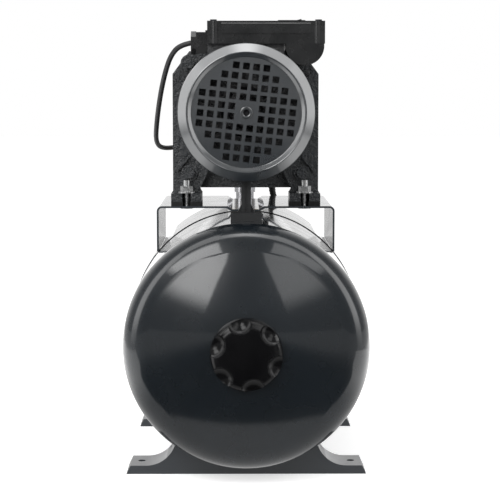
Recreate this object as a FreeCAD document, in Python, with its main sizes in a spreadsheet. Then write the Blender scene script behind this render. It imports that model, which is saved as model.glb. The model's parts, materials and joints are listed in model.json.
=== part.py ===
import FreeCAD, Part
import math
import os
import Sketcher

# Booster pump set: a cast jet pump with its motor stands on a horizontal pressure tank.
# Millimetres, +Z up. The fan and air valve end looks towards -Y, the ports towards +Y.
# The origin is on the floor, under the middle of the set without its cords.

SIZES = (
    # Tank
    ("tank_radius", 135.0), ("tank_wall", 1.5), ("tank_half_length", 175.0),
    ("dome_depth", 56.0), ("dome_knuckle", 40.0), ("tank_ground_gap", 13.5),
    ("seam_width", 7.0), ("seam_height", 0.8), ("valve_hole_radius", 9.0),
    ("neck_hole_radius", 50.0), ("neck_ring_radius", 74.0), ("neck_face_drop", 2.0),
    ("bead_thickness", 2.0), ("bead_radius", 59.0), ("flange_thickness", 3.0),
    ("flange_bolt_circle", 66.5), ("flange_bolt_count", 6.0), ("flange_bolt_radius", 3.0),
    ("flange_bolt_gap", 0.5), ("nozzle_radius", 16.5), ("nozzle_bore", 12.0), ("nozzle_length", 18.0),
    ("membrane_radius", 96.0), ("membrane_wall", 2.0), ("membrane_length", 250.0),
    # Air valve and its lobed cap
    ("cap_radius", 39.0), ("cap_proud", 14.0), ("cap_lobe_count", 6.0), ("cap_edge", 10.0),
    ("cap_scoop_radius", 15.0), ("cap_scoop_inset", 1.0), ("cap_scoop_lift", 4.0), ("cap_lobe_turn", 18.5),
    ("cap_hollow_radius", 21.0), ("cap_wall", 3.0), ("cap_seat_gap", 0.3),
    ("valve_stem_radius", 4.0), ("valve_nut_radius", 8.0),
    # Pressed feet
    ("foot_sheet", 2.5), ("foot_toe_inset", 1.0), ("foot_flat_height", 9.5), ("foot_end_slope", 4.5),
    ("foot_flat_length", 22.0), ("foot_sweep_radius", 34.0), ("foot_depth", 50.0),
    ("foot_inset", 25.0), ("foot_hole_inset", 16.0), ("foot_hole_radius", 4.2), ("weld_gap", 0.05),
    # Mounting plate
    ("plate_sheet", 2.3), ("plate_half_width", 105.5), ("plate_rise", 6.0), ("plate_corner", 6.0),
    ("plate_length", 185.0), ("plate_start", 12.0), ("bracket_setback", 25.0),
    ("valley_top_half", 22.0), ("valley_bottom_half", 16.0),
    # Pump feet, pads and bolts
    ("pad_thickness", 5.5), ("axis_height", 107.5), ("foot_bolt_spacing", 140.6), ("pump_foot_inner", 52.0),
    ("pump_foot_outer", 88.5), ("pump_foot_thickness", 9.5), ("pump_foot_depth", 47.0),
    ("pump_foot_setback", 2.0), ("foot_bolt_inset", 14.0), ("foot_slot_radius", 5.0), ("foot_bolt_radius", 4.0),
    ("foot_bolt_stand", 30.0), ("nut_across", 13.0), ("nut_height", 6.5),
    ("washer_radius", 10.0), ("washer_thickness", 1.6), ("bolt_head_height", 5.3),
    ("stud_head_radius", 7.5), ("stud_head_height", 1.3),
    # Pump casing and motor bracket
    ("casing_half_width", 87.0), ("casing_top", 70.0), ("casing_bottom", 93.0), ("corner_start", 43.0),
    ("corner_half_width", 67.0), ("casing_flange", 18.0), ("bracket_thickness", 12.0),
    ("notch_half_top", 46.0), ("notch_half_bottom", 54.5), ("notch_height", 75.0),
    ("bracket_rib", 5.0), ("bracket_bolt_boss", 3.0), ("bracket_bolt_x", 67.3),
    ("bracket_bolt_low", 74.6), ("bracket_bolt_high", 56.0), ("bracket_bolt_radius", 4.0),
    ("volute_radius", 76.0), ("volute_end_radius", 58.0), ("volute_length", 112.0),
    ("ejector_half_width", 46.0), ("casing_length", 136.0), ("boss_radius", 24.0), ("boss_height", 12.0),
    ("suction_rise", 22.0), ("delivery_drop", 57.5), ("port_radius", 15.15),
    ("casing_wall", 8.0), ("ejector_seat", 12.0), ("ejector_radius", 12.0),
    ("chamber_radius", 58.0), ("chamber_depth", 62.0), ("filler_y", 84.0), ("filler_top", 80.0),
    ("plug_bore", 9.5), ("plug_across", 22.0), ("drain_x", -34.0), ("drain_drop", 76.0),
    ("drain_bore", 6.0), ("drain_across", 14.0), ("thread_gap", 0.06),
    # Hydraulic parts and shaft
    ("shaft_radius", 7.0), ("shaft_gap", 0.04), ("impeller_radius", 50.0), ("impeller_y", 10.0),
    ("impeller_width", 10.0), ("diffuser_radius", 57.9), ("diffuser_thickness", 6.0), ("vane_count", 6.0),
    ("seal_radius", 15.0), ("rotor_radius", 30.0), ("rotor_length", 80.0), ("air_gap", 0.5),
    ("stator_radius", 52.0), ("bearing_radius", 20.0), ("bearing_width", 12.0),
    # Motor housing and fan
    ("motor_wall_radius", 60.0), ("fin_radius", 68.0), ("fin_count", 28.0), ("fin_thickness", 2.4),
    ("motor_length", 137.0), ("shield_thickness", 12.0),
    ("box_pad_half_x", 43.4), ("box_pad_half_y", 26.0),
    ("cover_radius", 74.5), ("cover_sheet", 1.2), ("cover_length", 58.0), ("fan_space", 44.0),
    ("cover_dish_depth", 4.5), ("cover_crest", 1.0), ("cover_edge", 11.0),
    ("grille_pitch", 11.0), ("grille_hole", 7.2), ("grille_turn", 6.5),
    ("grille_boss_radius", 6.4), ("grille_boss_height", 1.3), ("grille_eye_radius", 4.2),
    ("fan_radius", 60.0), ("fan_width", 18.0), ("fan_blade", 1.8), ("fan_blade_count", 8.0), ("fan_hub", 15.0),
    ("fan_clearance", 6.0), ("cover_screw_radius", 2.0),
    # Rear support foot
    ("post_width", 10.6), ("post_depth", 14.0), ("post_setback", 42.0), ("post_base_width", 34.5),
    ("post_base_height", 9.0), ("post_base_depth", 30.0), ("gusset_width", 20.0), ("gusset_height", 20.0),
    ("post_lip_width", 24.0), ("post_lip_height", 2.2),
    # Terminal box
    ("box_left", -43.6), ("box_right", 88.8), ("box_y", -93.0), ("box_depth", 84.0), ("box_wall", 2.5),
    ("box_bottom", 76.0), ("box_seam", 88.5), ("box_top", 101.5), ("lobe_radius", 21.7), ("lobe_x", 66.3),
    ("lobe_z", 73.5), ("capacitor_radius", 17.5), ("box_screw_inset", 7.0),
    ("box_screw_radius", 2.0), ("box_corner_bulge", 1.2), ("bezel_x", 52.0), ("bezel_width", 31.0), ("bezel_depth", 24.0),
    ("bezel_height", 1.6), ("bezel_y", -60.0), ("rocker_width", 24.0), ("rocker_depth", 17.0), ("rocker_gap", 0.4),
    ("rocker_tilt", 8.0), ("rocker_pivot_depth", 2.0),
    ("gland_length", 13.0), ("gland_across", 24.0), ("gland_rise", 77.5), ("gland_y", -62.0),
    # Manifold, switch and gauge
    ("manifold_radius", 19.0), ("manifold_length", 94.0), ("manifold_tail", 18.0), ("manifold_port", 70.0), ("side_port_y", 34.0),
    ("nipple_length", 4.0), ("nipple_radius", 7.0), ("switch_width", 60.0), ("switch_depth", 62.0),
    ("switch_low", 26.0), ("switch_base_height", 24.0), ("switch_height", 70.0), ("gland_small", 8.5),
    ("gauge_radius", 26.0), ("gauge_depth", 24.0), ("needle_length", 17.0),
    # Braided hose
    ("hose_radius", 12.0), ("hose_bore", 9.5), ("ferrule_radius", 14.0), ("ferrule_length", 22.0),
    ("hose_straight", 10.0), ("hose_nut_across", 38.0), ("hose_nut_length", 17.0), ("elbow_bend", 16.0),
    # Cords
    ("lead_diameter", 6.0), ("mains_diameter", 7.0), ("coil_radius", 48.0), ("coil_hole", 29.0),
    ("coil_height", 14.0), ("plug_width", 36.0), ("plug_length", 34.0), ("plug_height", 16.0),
    ("plug_pin_radius", 2.4), ("plug_pin_length", 19.0), ("plug_pin_spacing", 19.0),
)

V = FreeCAD.Vector
DOC = FreeCAD.newDocument("booster_pump_set")
NODES = []


class Size:
    """A value in millimetres or degrees that also carries the sheet expression it comes from."""

    def __init__(self, value, text):
        self.value = float(value)
        self.text = text

    def joined(self, sign, other, value):
        return Size(value, "(%s %s %s)" % (self.text, sign, other.text))

    def __add__(self, other):
        other = size(other)
        return self.joined("+", other, self.value + other.value)

    def __sub__(self, other):
        other = size(other)
        return self.joined("-", other, self.value - other.value)

    def __mul__(self, other):
        other = size(other)
        return self.joined("*", other, self.value * other.value)

    def __truediv__(self, other):
        other = size(other)
        return self.joined("/", other, self.value / other.value)

    def __radd__(self, other):
        return size(other) + self

    def __rsub__(self, other):
        return size(other) - self

    def __rmul__(self, other):
        return size(other) * self

    def __neg__(self):
        return size(0) - self


def size(value):
    """A plain number as a Size; a Size stays as it is."""
    return value if isinstance(value, Size) else Size(value, repr(float(value)))


def root(value):
    return Size(math.sqrt(value.value), "sqrt(%s)" % value.text)


def number(value):
    """The bare number of a Size or of a plain number."""
    return size(value).value


def make_sheet():
    """The sheet of driving sizes: a name, its number and an alias on each row."""
    sheet = DOC.addObject("Spreadsheet::Sheet", "Sizes")
    for row, (name, value) in enumerate(SIZES, 1):
        sheet.set("A%d" % row, name)
        sheet.set("B%d" % row, str(value))
        sheet.setAlias("B%d" % row, name)
    DOC.recompute()
    return sheet


class SheetSizes:
    """Reads a driving size by its name, as S.tank_radius."""

    def __init__(self, sheet):
        self.sheet = sheet

    def __getattr__(self, name):
        return Size(self.sheet.get(name), "Sizes." + name)


S = SheetSizes(make_sheet())
WORKED = DOC.addObject("Spreadsheet::Sheet", "Worked")
WORKED_ROWS = []


def worked(name, value):
    """Keeps a value that follows from the driving sizes as a formula cell of its own."""
    WORKED_ROWS.append(name)
    cell = "B%d" % len(WORKED_ROWS)
    WORKED.set("A%d" % len(WORKED_ROWS), name)
    WORKED.set(cell, "=" + value.text)
    WORKED.setAlias(cell, name)
    return Size(value.value, "Worked." + name)


# Values worked out from the driving sizes
CROWN_RADIUS = worked("crown_radius", (
    S.dome_depth * S.dome_depth - S.dome_knuckle * S.dome_knuckle
    + (S.tank_radius - S.dome_knuckle) * (S.tank_radius - S.dome_knuckle)
) / (2 * (S.dome_depth - S.dome_knuckle)))
CROWN_CENTRE = worked("crown_centre", S.tank_half_length + S.dome_depth - CROWN_RADIUS)
NECK_FACE = worked("neck_face", S.tank_half_length + S.dome_depth - S.neck_face_drop)
FLANGE_FACE = worked("flange_face", NECK_FACE + S.bead_thickness + S.flange_thickness)
NOZZLE_END = worked("nozzle_end", FLANGE_FACE + S.nozzle_length)
ELBOW_Y = worked("elbow_y", NOZZLE_END + S.elbow_bend)
REAR_REACH = worked("rear_reach", S.tank_half_length + S.dome_depth + S.cap_proud)
FRONT_REACH = worked("front_reach", ELBOW_Y + S.ferrule_radius)
MID_Y = worked("mid_y", (REAR_REACH - FRONT_REACH) / 2)
TANK_Z = worked("tank_z", S.tank_radius + S.tank_ground_gap)
PLATE_TOP = worked("plate_top", TANK_Z + S.tank_radius + S.plate_rise)
AXIS_Z = worked("axis_z", PLATE_TOP + S.pad_thickness + S.axis_height)
PLATE_Y = worked("plate_y", MID_Y - S.plate_start)
BRACKET_Y = worked("bracket_y", PLATE_Y + S.bracket_setback)
CASING_Y = worked("casing_y", BRACKET_Y + S.bracket_thickness)
PORT_FACE = worked("port_face", CASING_Y + S.casing_length + S.boss_height)
MOTOR_END = worked("motor_end", BRACKET_Y - S.motor_length)
SHIELD_END = worked("shield_end", MOTOR_END - S.shield_thickness)
COVER_END = worked("cover_end", SHIELD_END - S.fan_space)
FAN_Y = worked("fan_y", COVER_END + S.cover_dish_depth + S.cover_sheet + S.fan_clearance)
BOX_Y = worked("box_start", MID_Y + S.box_y)

TURNS = {
    "+Z": FreeCAD.Rotation(),
    "-Z": FreeCAD.Rotation(V(1, 0, 0), 180),
    "+Y": FreeCAD.Rotation(V(1, 0, 0), -90),
    "-Y": FreeCAD.Rotation(V(1, 0, 0), 90),
    "+X": FreeCAD.Rotation(V(0, 1, 0), 90),
    "-X": FreeCAD.Rotation(V(0, 1, 0), -90),
}


# Helpers for document objects
def bind(thing, **values):
    """Ties properties of an object to the sheet."""
    for name, value in values.items():
        thing.setExpression(name, size(value).text)
    return thing


def place(thing, spot, towards="+Z"):
    """Puts an object at a spot with its own Z axis turned towards a direction of the set."""
    turn = TURNS[towards] if isinstance(towards, str) else towards
    thing.Placement = FreeCAD.Placement(V(*[number(c) for c in spot]), turn)
    for axis, value in zip("xyz", spot):
        thing.setExpression("Placement.Base." + axis, size(value).text)
    return thing


def node(label, thing):
    """Names a finished sub-part and puts it on the list that is written out."""
    thing.Label = label
    NODES.append((label, thing))
    return thing


def cylinder(name, radius, height, spot, towards="+Z"):
    return place(bind(DOC.addObject("Part::Cylinder", name), Radius=radius, Height=height), spot, towards)


def cone(name, radius_low, radius_high, height, spot, towards="+Z"):
    thing = DOC.addObject("Part::Cone", name)
    return place(bind(thing, Radius1=radius_low, Radius2=radius_high, Height=height), spot, towards)


def hexagon(name, across, height, spot, towards="+Z"):
    """A hexagonal prism by its width across the flats."""
    thing = DOC.addObject("Part::Prism", name)
    thing.Polygon = 6
    return place(bind(thing, Circumradius=across / math.sqrt(3), Height=height), spot, towards)


def block(name, spot, width, depth, height):
    """A box from its lowest corner."""
    return place(bind(DOC.addObject("Part::Box", name), Length=width, Width=depth, Height=height), spot)


def bar(name, start, end, width, depth):
    """A straight bar in a plane of constant Y, between two points given as (across, y, up)."""
    across, up = number(end[0] - start[0]), number(end[2] - start[2])
    length = root((end[0] - start[0]) * (end[0] - start[0]) + (end[2] - start[2]) * (end[2] - start[2]))
    corner = (
        start[0] - width / 2 * (end[2] - start[2]) / length,
        start[1],
        start[2] + width / 2 * (end[0] - start[0]) / length,
    )
    thing = bind(DOC.addObject("Part::Box", name), Length=width, Width=depth, Height=length)
    return place(thing, corner, FreeCAD.Rotation(V(0, 1, 0), math.degrees(math.atan2(across, up))))


def fuse(name, *things):
    thing = DOC.addObject("Part::MultiFuse", name)
    thing.Shapes = list(things)
    thing.Refine = True
    return thing


def cut(name, base, *tools):
    thing = DOC.addObject("Part::Cut", name)
    thing.Base = base
    thing.Tool = tools[0] if len(tools) == 1 else gather(name + "_tools", *tools)
    return thing


def gather(name, *things):
    """Separate solids that share one node, such as a set of screws."""
    thing = DOC.addObject("Part::Compound", name)
    thing.Links = list(things)
    return thing


def shaped(name, shape, turn=0.0):
    """A shape made with plain geometry calls, where no feature fits, turned about its own Z axis."""
    thing = DOC.addObject("Part::Feature", name)
    thing.Shape = shape.transformed(FreeCAD.Rotation(V(0, 0, 1), turn).toMatrix(), True)
    return thing


# Helpers for bodies with sketches
def origin_plane(body, role):
    return next(f for f in body.Origin.OriginFeatures if f.Role == role)


def arc_through(start, end, radius, side):
    """The short arc from start to end; its centre lies to the left (side 1) or right (side -1)."""
    chord = end - start
    left = V(-chord.y, chord.x, 0).normalize()
    rise = math.sqrt(max(radius * radius - chord.Length * chord.Length / 4, 0.0))
    centre = (start + end) * 0.5 + left * (rise * side)
    first, last = (start, end) if side > 0 else (end, start)
    low = math.atan2(first.y - centre.y, first.x - centre.x)
    high = math.atan2(last.y - centre.y, last.x - centre.x)
    if high < low:
        high += 2 * math.pi
    return Part.ArcOfCircle(Part.Circle(centre, V(0, 0, 1), radius), low, high)


def hold_point(sketch, edge, end, x, y):
    """Ties one end of a sketch edge to its two coordinates."""
    for kind, value, axis in (("DistanceX", x, -2), ("DistanceY", y, -1)):
        if size(value).text == "0.0":
            sketch.addConstraint(Sketcher.Constraint("PointOnObject", edge, end, axis))
        else:
            rule = sketch.addConstraint(Sketcher.Constraint(kind, -1, 1, edge, end, number(value)))
            sketch.setExpression("Constraints[%d]" % rule, value.text if isinstance(value, Size) else repr(value))


def draw_loop(sketch, corners):
    """A closed loop of lines and arcs. A corner (x, y) ends a line and (x, y, radius, side) an arc."""
    points = [V(number(c[0]), number(c[1]), 0) for c in corners]
    edges = []
    for i, corner in enumerate(corners):
        start, end = points[i - 1], points[i]
        if len(corner) == 2:
            edge = sketch.addGeometry(Part.LineSegment(start, end))
            edges.append((edge, 1, 2))
            continue
        edge = sketch.addGeometry(arc_through(start, end, number(corner[2]), corner[3]))
        edges.append((edge, 1, 2) if corner[3] > 0 else (edge, 2, 1))
    for i, corner in enumerate(corners):
        edge, _, end = edges[i]
        following, start, _ = edges[(i + 1) % len(edges)]
        sketch.addConstraint(Sketcher.Constraint("Coincident", edge, end, following, start))
        hold_point(sketch, edge, end, corner[0], corner[1])
        if len(corner) == 4 and (points[i] - points[i - 1]).Length > 1.999 * number(corner[2]):
            # A half circle is tied by the height of its centre
            rule = sketch.addConstraint(Sketcher.Constraint("DistanceY", -1, 1, edge, 3, number(corner[1])))
            sketch.setExpression("Constraints[%d]" % rule, size(corner[1]).text)
        elif len(corner) == 4:
            rule = sketch.addConstraint(Sketcher.Constraint("Radius", edge, number(corner[2])))
            sketch.setExpression("Constraints[%d]" % rule, size(corner[2]).text)


def draw_circle(sketch, x, y, radius):
    edge = sketch.addGeometry(Part.Circle(V(number(x), number(y), 0), V(0, 0, 1), number(radius)))
    hold_point(sketch, edge, 3, x, y)
    rule = sketch.addConstraint(Sketcher.Constraint("Radius", edge, number(radius)))
    sketch.setExpression("Constraints[%d]" % rule, size(radius).text)


def new_sketch(body, role, name, loops=(), circles=(), lift=None):
    """A sketch on one of the body's own planes, lifted along the plane's normal if asked."""
    sketch = body.newObject("Sketcher::SketchObject", name)
    sketch.AttachmentSupport = (origin_plane(body, role), [""])
    sketch.MapMode = "FlatFace"
    if lift is not None:
        sketch.setExpression("AttachmentOffset.Base.z", size(lift).text)
    for corners in loops:
        draw_loop(sketch, corners)
    for circle in circles:
        draw_circle(sketch, *circle)
    return sketch


def new_body(name, spot, towards="+Z"):
    return place(DOC.addObject("PartDesign::Body", name), spot, towards)


def turn_profile(body, name, corners):
    """Turns an outline of radius and height round the body's own Z axis."""
    sketch = new_sketch(body, "XZ_Plane", name + "_outline", [corners])
    feature = body.newObject("PartDesign::Revolution", name)
    feature.Profile = sketch
    feature.ReferenceAxis = (sketch, ["V_Axis"])
    feature.Angle = 360
    return feature


def pad(body, name, sketch, length, symmetric=False, reverse=False):
    feature = body.newObject("PartDesign::Pad", name)
    feature.Profile = sketch
    feature.Reversed = reverse
    feature.SideType = "Symmetric" if symmetric else "One side"
    return bind(feature, Length=length)


def pocket(body, name, sketch, length, symmetric=False, reverse=False):
    feature = body.newObject("PartDesign::Pocket", name)
    feature.Profile = sketch
    feature.Reversed = reverse
    feature.SideType = "Symmetric" if symmetric else "One side"
    return bind(feature, Length=length)


def turned(label, corners, spot, towards="+Z"):
    """A sub-part that is one turned profile."""
    body = new_body(label, spot, towards)
    turn_profile(body, label + "_turn", corners)
    return node(label, body)


def domed_part(name, corners, spot, towards="+Z"):
    """A turned profile with crown arcs, whose full circles would cross the axis."""
    sketch = DOC.addObject("Sketcher::SketchObject", name + "_outline")
    sketch.Placement = FreeCAD.Placement(V(), FreeCAD.Rotation(V(1, 0, 0), 90))
    draw_loop(sketch, corners)
    turn = DOC.addObject("Part::Revolution", name + "_turn")
    turn.Source = sketch
    turn.Axis = V(0, 0, 1)
    turn.Base = V(0, 0, 0)
    turn.Angle = 360
    turn.Solid = True
    return place(turn, spot, towards)


def domed(label, corners, spot, towards="+Z"):
    """A sub-part that is one turned profile with crown arcs."""
    return node(label, domed_part(label, corners, spot, towards))


def round_edges(body, name, feature, radius, wanted):
    """Fillets the edges of a feature that a test picks by their place."""
    DOC.recompute()
    names = ["Edge%d" % (i + 1) for i, edge in enumerate(feature.Shape.Edges) if wanted(edge)]
    fillet = body.newObject("PartDesign::Fillet", name)
    fillet.Base = (feature, names)
    return bind(fillet, Radius=radius)


def polar_spots(count, radius, first=0.0):
    """Sheet expressions of evenly spaced places on a circle, as pairs of across and up."""
    places = []
    for i in range(int(number(count))):
        angle = math.radians(first + 360.0 * i / number(count))
        places.append((radius * math.cos(angle), radius * math.sin(angle)))
    return places


# Tank
def dome_height(radius):
    """Height of the dome's crown at a radius, counted from the middle of the tank."""
    return CROWN_CENTRE + root(CROWN_RADIUS * CROWN_RADIUS - radius * radius)


def tank_shell(name, opening, towards):
    """One deep-drawn half: cylinder, knuckle and crown, open at the middle and at the pole."""
    wall = S.tank_wall
    across = (S.tank_radius - S.dome_knuckle) / (CROWN_RADIUS - S.dome_knuckle)
    along = (CROWN_RADIUS - S.dome_depth) / (CROWN_RADIUS - S.dome_knuckle)
    inner_knuckle = S.dome_knuckle - wall
    inner_crown = CROWN_RADIUS - wall
    corners = [
        (S.tank_radius - wall, size(0)),
        (S.tank_radius, size(0)),
        (S.tank_radius, S.tank_half_length),
        (across * CROWN_RADIUS, CROWN_CENTRE + along * CROWN_RADIUS, S.dome_knuckle, 1),
        (opening, dome_height(opening), CROWN_RADIUS, 1),
        (opening, CROWN_CENTRE + root(inner_crown * inner_crown - opening * opening)),
        (across * inner_crown, CROWN_CENTRE + along * inner_crown, inner_crown, -1),
        (S.tank_radius - wall, S.tank_half_length, inner_knuckle, -1),
    ]
    return domed_part(name, corners, (size(0), MID_Y, TANK_Z), towards)


def tank():
    node("tank_rear_shell", tank_shell("rear_shell", S.valve_hole_radius, "-Y"))
    front = tank_shell("front_shell", S.neck_hole_radius, "+Y")
    half = S.seam_width / 2
    seam = turned_part("weld_seam", [
        (S.tank_radius, -half),
        (S.tank_radius + S.seam_height, size(0) - half * 0.6),
        (S.tank_radius + S.seam_height, half * 0.6),
        (S.tank_radius, half),
    ], (size(0), MID_Y, TANK_Z), "+Y")
    node("tank_front_shell", fuse("front_shell_with_seam", front, seam))
    domed("tank_neck_ring", [
        (S.neck_hole_radius, dome_height(S.neck_hole_radius) + S.weld_gap),
        (S.neck_ring_radius, dome_height(S.neck_ring_radius) + S.weld_gap, CROWN_RADIUS, -1),
        (S.neck_ring_radius, NECK_FACE),
        (S.neck_hole_radius, NECK_FACE),
    ], (size(0), MID_Y, TANK_Z), "+Y")
    membrane()
    tank_flange()


def membrane():
    """The rubber bag inside: a bead clamped under the flange, a neck and a rounded bag."""
    wall = S.membrane_wall
    neck = S.neck_hole_radius - 2
    shoulder = NECK_FACE - 34
    bottom = NECK_FACE - S.membrane_length
    bend = S.membrane_radius - neck
    domed("tank_membrane", [
        (neck - wall, NECK_FACE + S.bead_thickness),
        (neck - wall, shoulder),
        (S.membrane_radius - wall, shoulder - bend, bend, -1),
        (S.membrane_radius - wall, bottom + S.membrane_radius),
        (size(0), bottom + wall, S.membrane_radius - wall, -1),
        (size(0), bottom),
        (S.membrane_radius, bottom + S.membrane_radius, S.membrane_radius, 1),
        (S.membrane_radius, shoulder - bend),
        (neck, shoulder, bend, 1),
        (neck, NECK_FACE),
        (S.bead_radius, NECK_FACE),
        (S.bead_radius, NECK_FACE + S.bead_thickness),
    ], (size(0), MID_Y, TANK_Z), "+Y")


def tank_flange():
    """Cover of the tank mouth with its nozzle, and the screws round it."""
    under = NECK_FACE + S.bead_thickness
    body = new_body("tank_flange", (size(0), MID_Y, TANK_Z), "+Y")
    turn_profile(body, "flange_turn", [
        (S.nozzle_bore, under),
        (S.neck_ring_radius, under),
        (S.neck_ring_radius, FLANGE_FACE - 0.8),
        (S.neck_ring_radius - 0.8, FLANGE_FACE, size(0.8), 1),
        (S.nozzle_radius + 6, FLANGE_FACE),
        (S.nozzle_radius, FLANGE_FACE + 3),
        (S.nozzle_radius, NOZZLE_END),
        (S.nozzle_bore, NOZZLE_END),
    ])
    hole = S.flange_bolt_radius + S.shaft_gap
    spots = polar_spots(S.flange_bolt_count, S.flange_bolt_circle, 30)
    sketch = new_sketch(body, "XY_Plane", "flange_holes_outline", (), [(x, y, hole) for x, y in spots],
                        FLANGE_FACE)
    pocket(body, "flange_holes", sketch, S.flange_thickness * 2)
    node("tank_flange", body)
    screws = []
    holes = []
    depth = FLANGE_FACE - dome_height(S.flange_bolt_circle - S.flange_bolt_radius) - S.flange_bolt_gap
    for i, (x, y) in enumerate(spots):
        face = MID_Y + FLANGE_FACE
        name = "flange_screw_%d" % i
        head = hexagon(name + "_head", size(10), size(4), (x, face, TANK_Z + y), "+Y")
        shank = cylinder(name + "_shank", S.flange_bolt_radius, depth, (x, face, TANK_Z + y), "-Y")
        holes.append(cylinder(name + "_hole", hole, 2 * depth, (x, face, TANK_Z + y), "-Y"))
        screws.append(fuse(name, head, shank))
    node("tank_flange_screws", gather("flange_screws", *screws))
    label, ring = next(entry for entry in NODES if entry[0] == "tank_neck_ring")
    NODES.remove((label, ring))
    ring.Label = "neck_ring_blank"
    node("tank_neck_ring", cut("neck_ring_drilled", ring, *holes))


def air_valve():
    """Air valve in the rear dome, and the lobed plastic cap over it."""
    pole = S.tank_half_length + S.dome_depth
    turned("air_valve", [
        (size(0), pole - 14),
        (S.valve_nut_radius - 2, pole - 14),
        (S.valve_nut_radius - 2, pole - 3),
        (S.valve_hole_radius - 0.05, pole - 3),
        (S.valve_hole_radius - 0.05, pole + 1.5),
        (S.valve_nut_radius, pole + 1.5),
        (S.valve_nut_radius, pole + 4.5),
        (S.valve_stem_radius, pole + 4.5),
        (S.valve_stem_radius, pole + 9),
        (size(0), pole + 9),
    ], (size(0), MID_Y, TANK_Z), "-Y")
    seat = dome_height(S.cap_radius) + S.cap_seat_gap
    face = pole + S.cap_proud
    body = domed_part("valve_cap_blank", [
        (S.cap_hollow_radius, dome_height(S.cap_hollow_radius) + S.cap_seat_gap),
        (S.cap_radius, seat, CROWN_RADIUS, -1),
        (S.cap_radius - 0.6, face - S.cap_edge),
        (S.cap_radius - 0.6 - S.cap_edge, face, S.cap_edge, 1),
        (size(0), face),
        (size(0), face - S.cap_wall),
        (S.cap_hollow_radius, face - S.cap_wall),
    ], (size(0), MID_Y, TANK_Z), "-Y")
    scoops = []
    count = int(number(S.cap_lobe_count))
    for i in range(count):
        turn = math.radians(360.0 * (i + 0.5) / count + number(S.cap_lobe_turn))
        reach = S.cap_radius - S.cap_scoop_inset
        spot = (reach * math.sin(turn), MID_Y - face - S.cap_scoop_lift, TANK_Z + reach * math.cos(turn))
        ball = place(bind(DOC.addObject("Part::Sphere", "cap_scoop_%d" % i), Radius=S.cap_scoop_radius), spot)
        scoops.append(ball)
    node("valve_cap", cut("valve_cap_scooped", body, *scoops))


def pressed_foot(label, start_y):
    """A foot pressed from one sheet: flat toes, a sweep up to the tank and a saddle under it."""
    centre_drop = S.tank_radius + S.tank_ground_gap
    saddle = S.tank_radius + S.weld_gap
    toe = S.tank_radius - S.foot_toe_inset
    flat = toe - S.foot_flat_length
    sweep = S.foot_sweep_radius
    sheet = S.foot_sheet
    sweep_z = S.foot_flat_height + sweep
    # Where the sweep's circle meets the tank's circle
    apart = root(flat * flat + (centre_drop - sweep_z) * (centre_drop - sweep_z))

    def meeting(tank_r, sweep_r):
        along = (tank_r * tank_r - sweep_r * sweep_r + apart * apart) / (2 * apart)
        off = root(tank_r * tank_r - along * along)
        across = (flat * along - (centre_drop - sweep_z) * off) / apart
        down = ((centre_drop - sweep_z) * along + flat * off) / apart
        return across, centre_drop - down

    horn_x, horn_z = meeting(saddle, sweep)
    inner_x, inner_z = meeting(saddle + sheet, sweep + sheet)
    top = toe - S.foot_end_slope
    outer = [
        (-toe, size(0)), (toe, size(0)), (top, S.foot_flat_height), (flat, S.foot_flat_height),
        (horn_x, horn_z, sweep, -1), (-horn_x, horn_z, saddle, -1),
        (-flat, S.foot_flat_height, sweep, -1), (-top, S.foot_flat_height),
    ]
    under = S.foot_flat_height - sheet
    inner = [
        (-(toe - sheet), size(-1)), (toe - sheet, size(-1)), (top - sheet, under), (flat, under),
        (inner_x, inner_z, sweep + sheet, -1), (-inner_x, inner_z, saddle + sheet, -1),
        (-flat, under, sweep + sheet, -1), (-(top - sheet), under),
    ]
    body = new_body(label, (size(0), start_y + S.foot_depth / 2, size(0)))
    pad(body, label + "_press", new_sketch(body, "XZ_Plane", label + "_outer", [outer]), S.foot_depth, True)
    pocket(body, label + "_hollow", new_sketch(body, "XZ_Plane", label + "_inner", [inner]),
           S.foot_depth - 2 * sheet, True)
    half = toe - S.foot_hole_inset
    holes = new_sketch(body, "XY_Plane", label + "_hole_outline", (),
                       [(half, size(0), S.foot_hole_radius), (-half, size(0), S.foot_hole_radius)])
    pocket(body, label + "_holes", holes, S.foot_flat_height * 4, True)
    return node(label, body)


def mounting_plate():
    """Sheet bent over the tank: two legs, a flat top and a valley that rests on the tank."""
    sheet = S.plate_sheet
    half = S.plate_half_width
    inner = half - sheet
    rise = S.tank_radius + S.plate_rise
    foot = root(S.tank_radius * S.tank_radius - inner * inner) + 2 * S.weld_gap
    top, bottom = S.valley_top_half, S.valley_bottom_half
    floor = S.tank_radius + S.weld_gap
    corner = S.plate_corner
    small = corner - sheet
    right = [
        (half, foot), (half, rise - corner), (half - corner, rise, corner, 1),
        (top, rise), (bottom, floor + sheet),
    ]
    left = [(-bottom, floor + sheet), (-top, rise), (-(half - corner), rise), (-half, rise - corner, corner, 1),
            (-half, foot), (-inner, foot)]
    under_left = [(-inner, rise - corner), (-(inner - small), rise - sheet, small, -1),
                  (-(top + sheet * 0.4), rise - sheet), (-(bottom + sheet * 0.4), floor)]
    under_right = [(bottom + sheet * 0.4, floor), (top + sheet * 0.4, rise - sheet), (inner - small, rise - sheet),
                   (inner, rise - corner, small, -1), (inner, foot)]
    body = new_body("plate_sheet_body", (size(0), PLATE_Y, TANK_Z))
    outline = new_sketch(body, "XZ_Plane", "plate_outline", [right + left + under_left + under_right])
    pad(body, "plate_bend", outline, S.plate_length, False, True)
    bolt = S.foot_bolt_spacing / 2
    hole = S.foot_bolt_radius + 0.5
    spots = [(x, S.foot_bolt_inset, hole) for x in (-bolt, bolt)]
    pocket(body, "plate_holes", new_sketch(body, "XY_Plane", "plate_hole_outline", (), spots, rise + 1),
           sheet + 2)
    relief = cylinder("plate_seam_relief", S.tank_radius + S.seam_height + S.weld_gap, S.seam_width + 1,
                      (size(0), MID_Y - S.seam_width / 2 - 0.5, TANK_Z), "+Y")
    return node("mounting_plate", cut("mounting_plate_pressed", body, relief))


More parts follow.
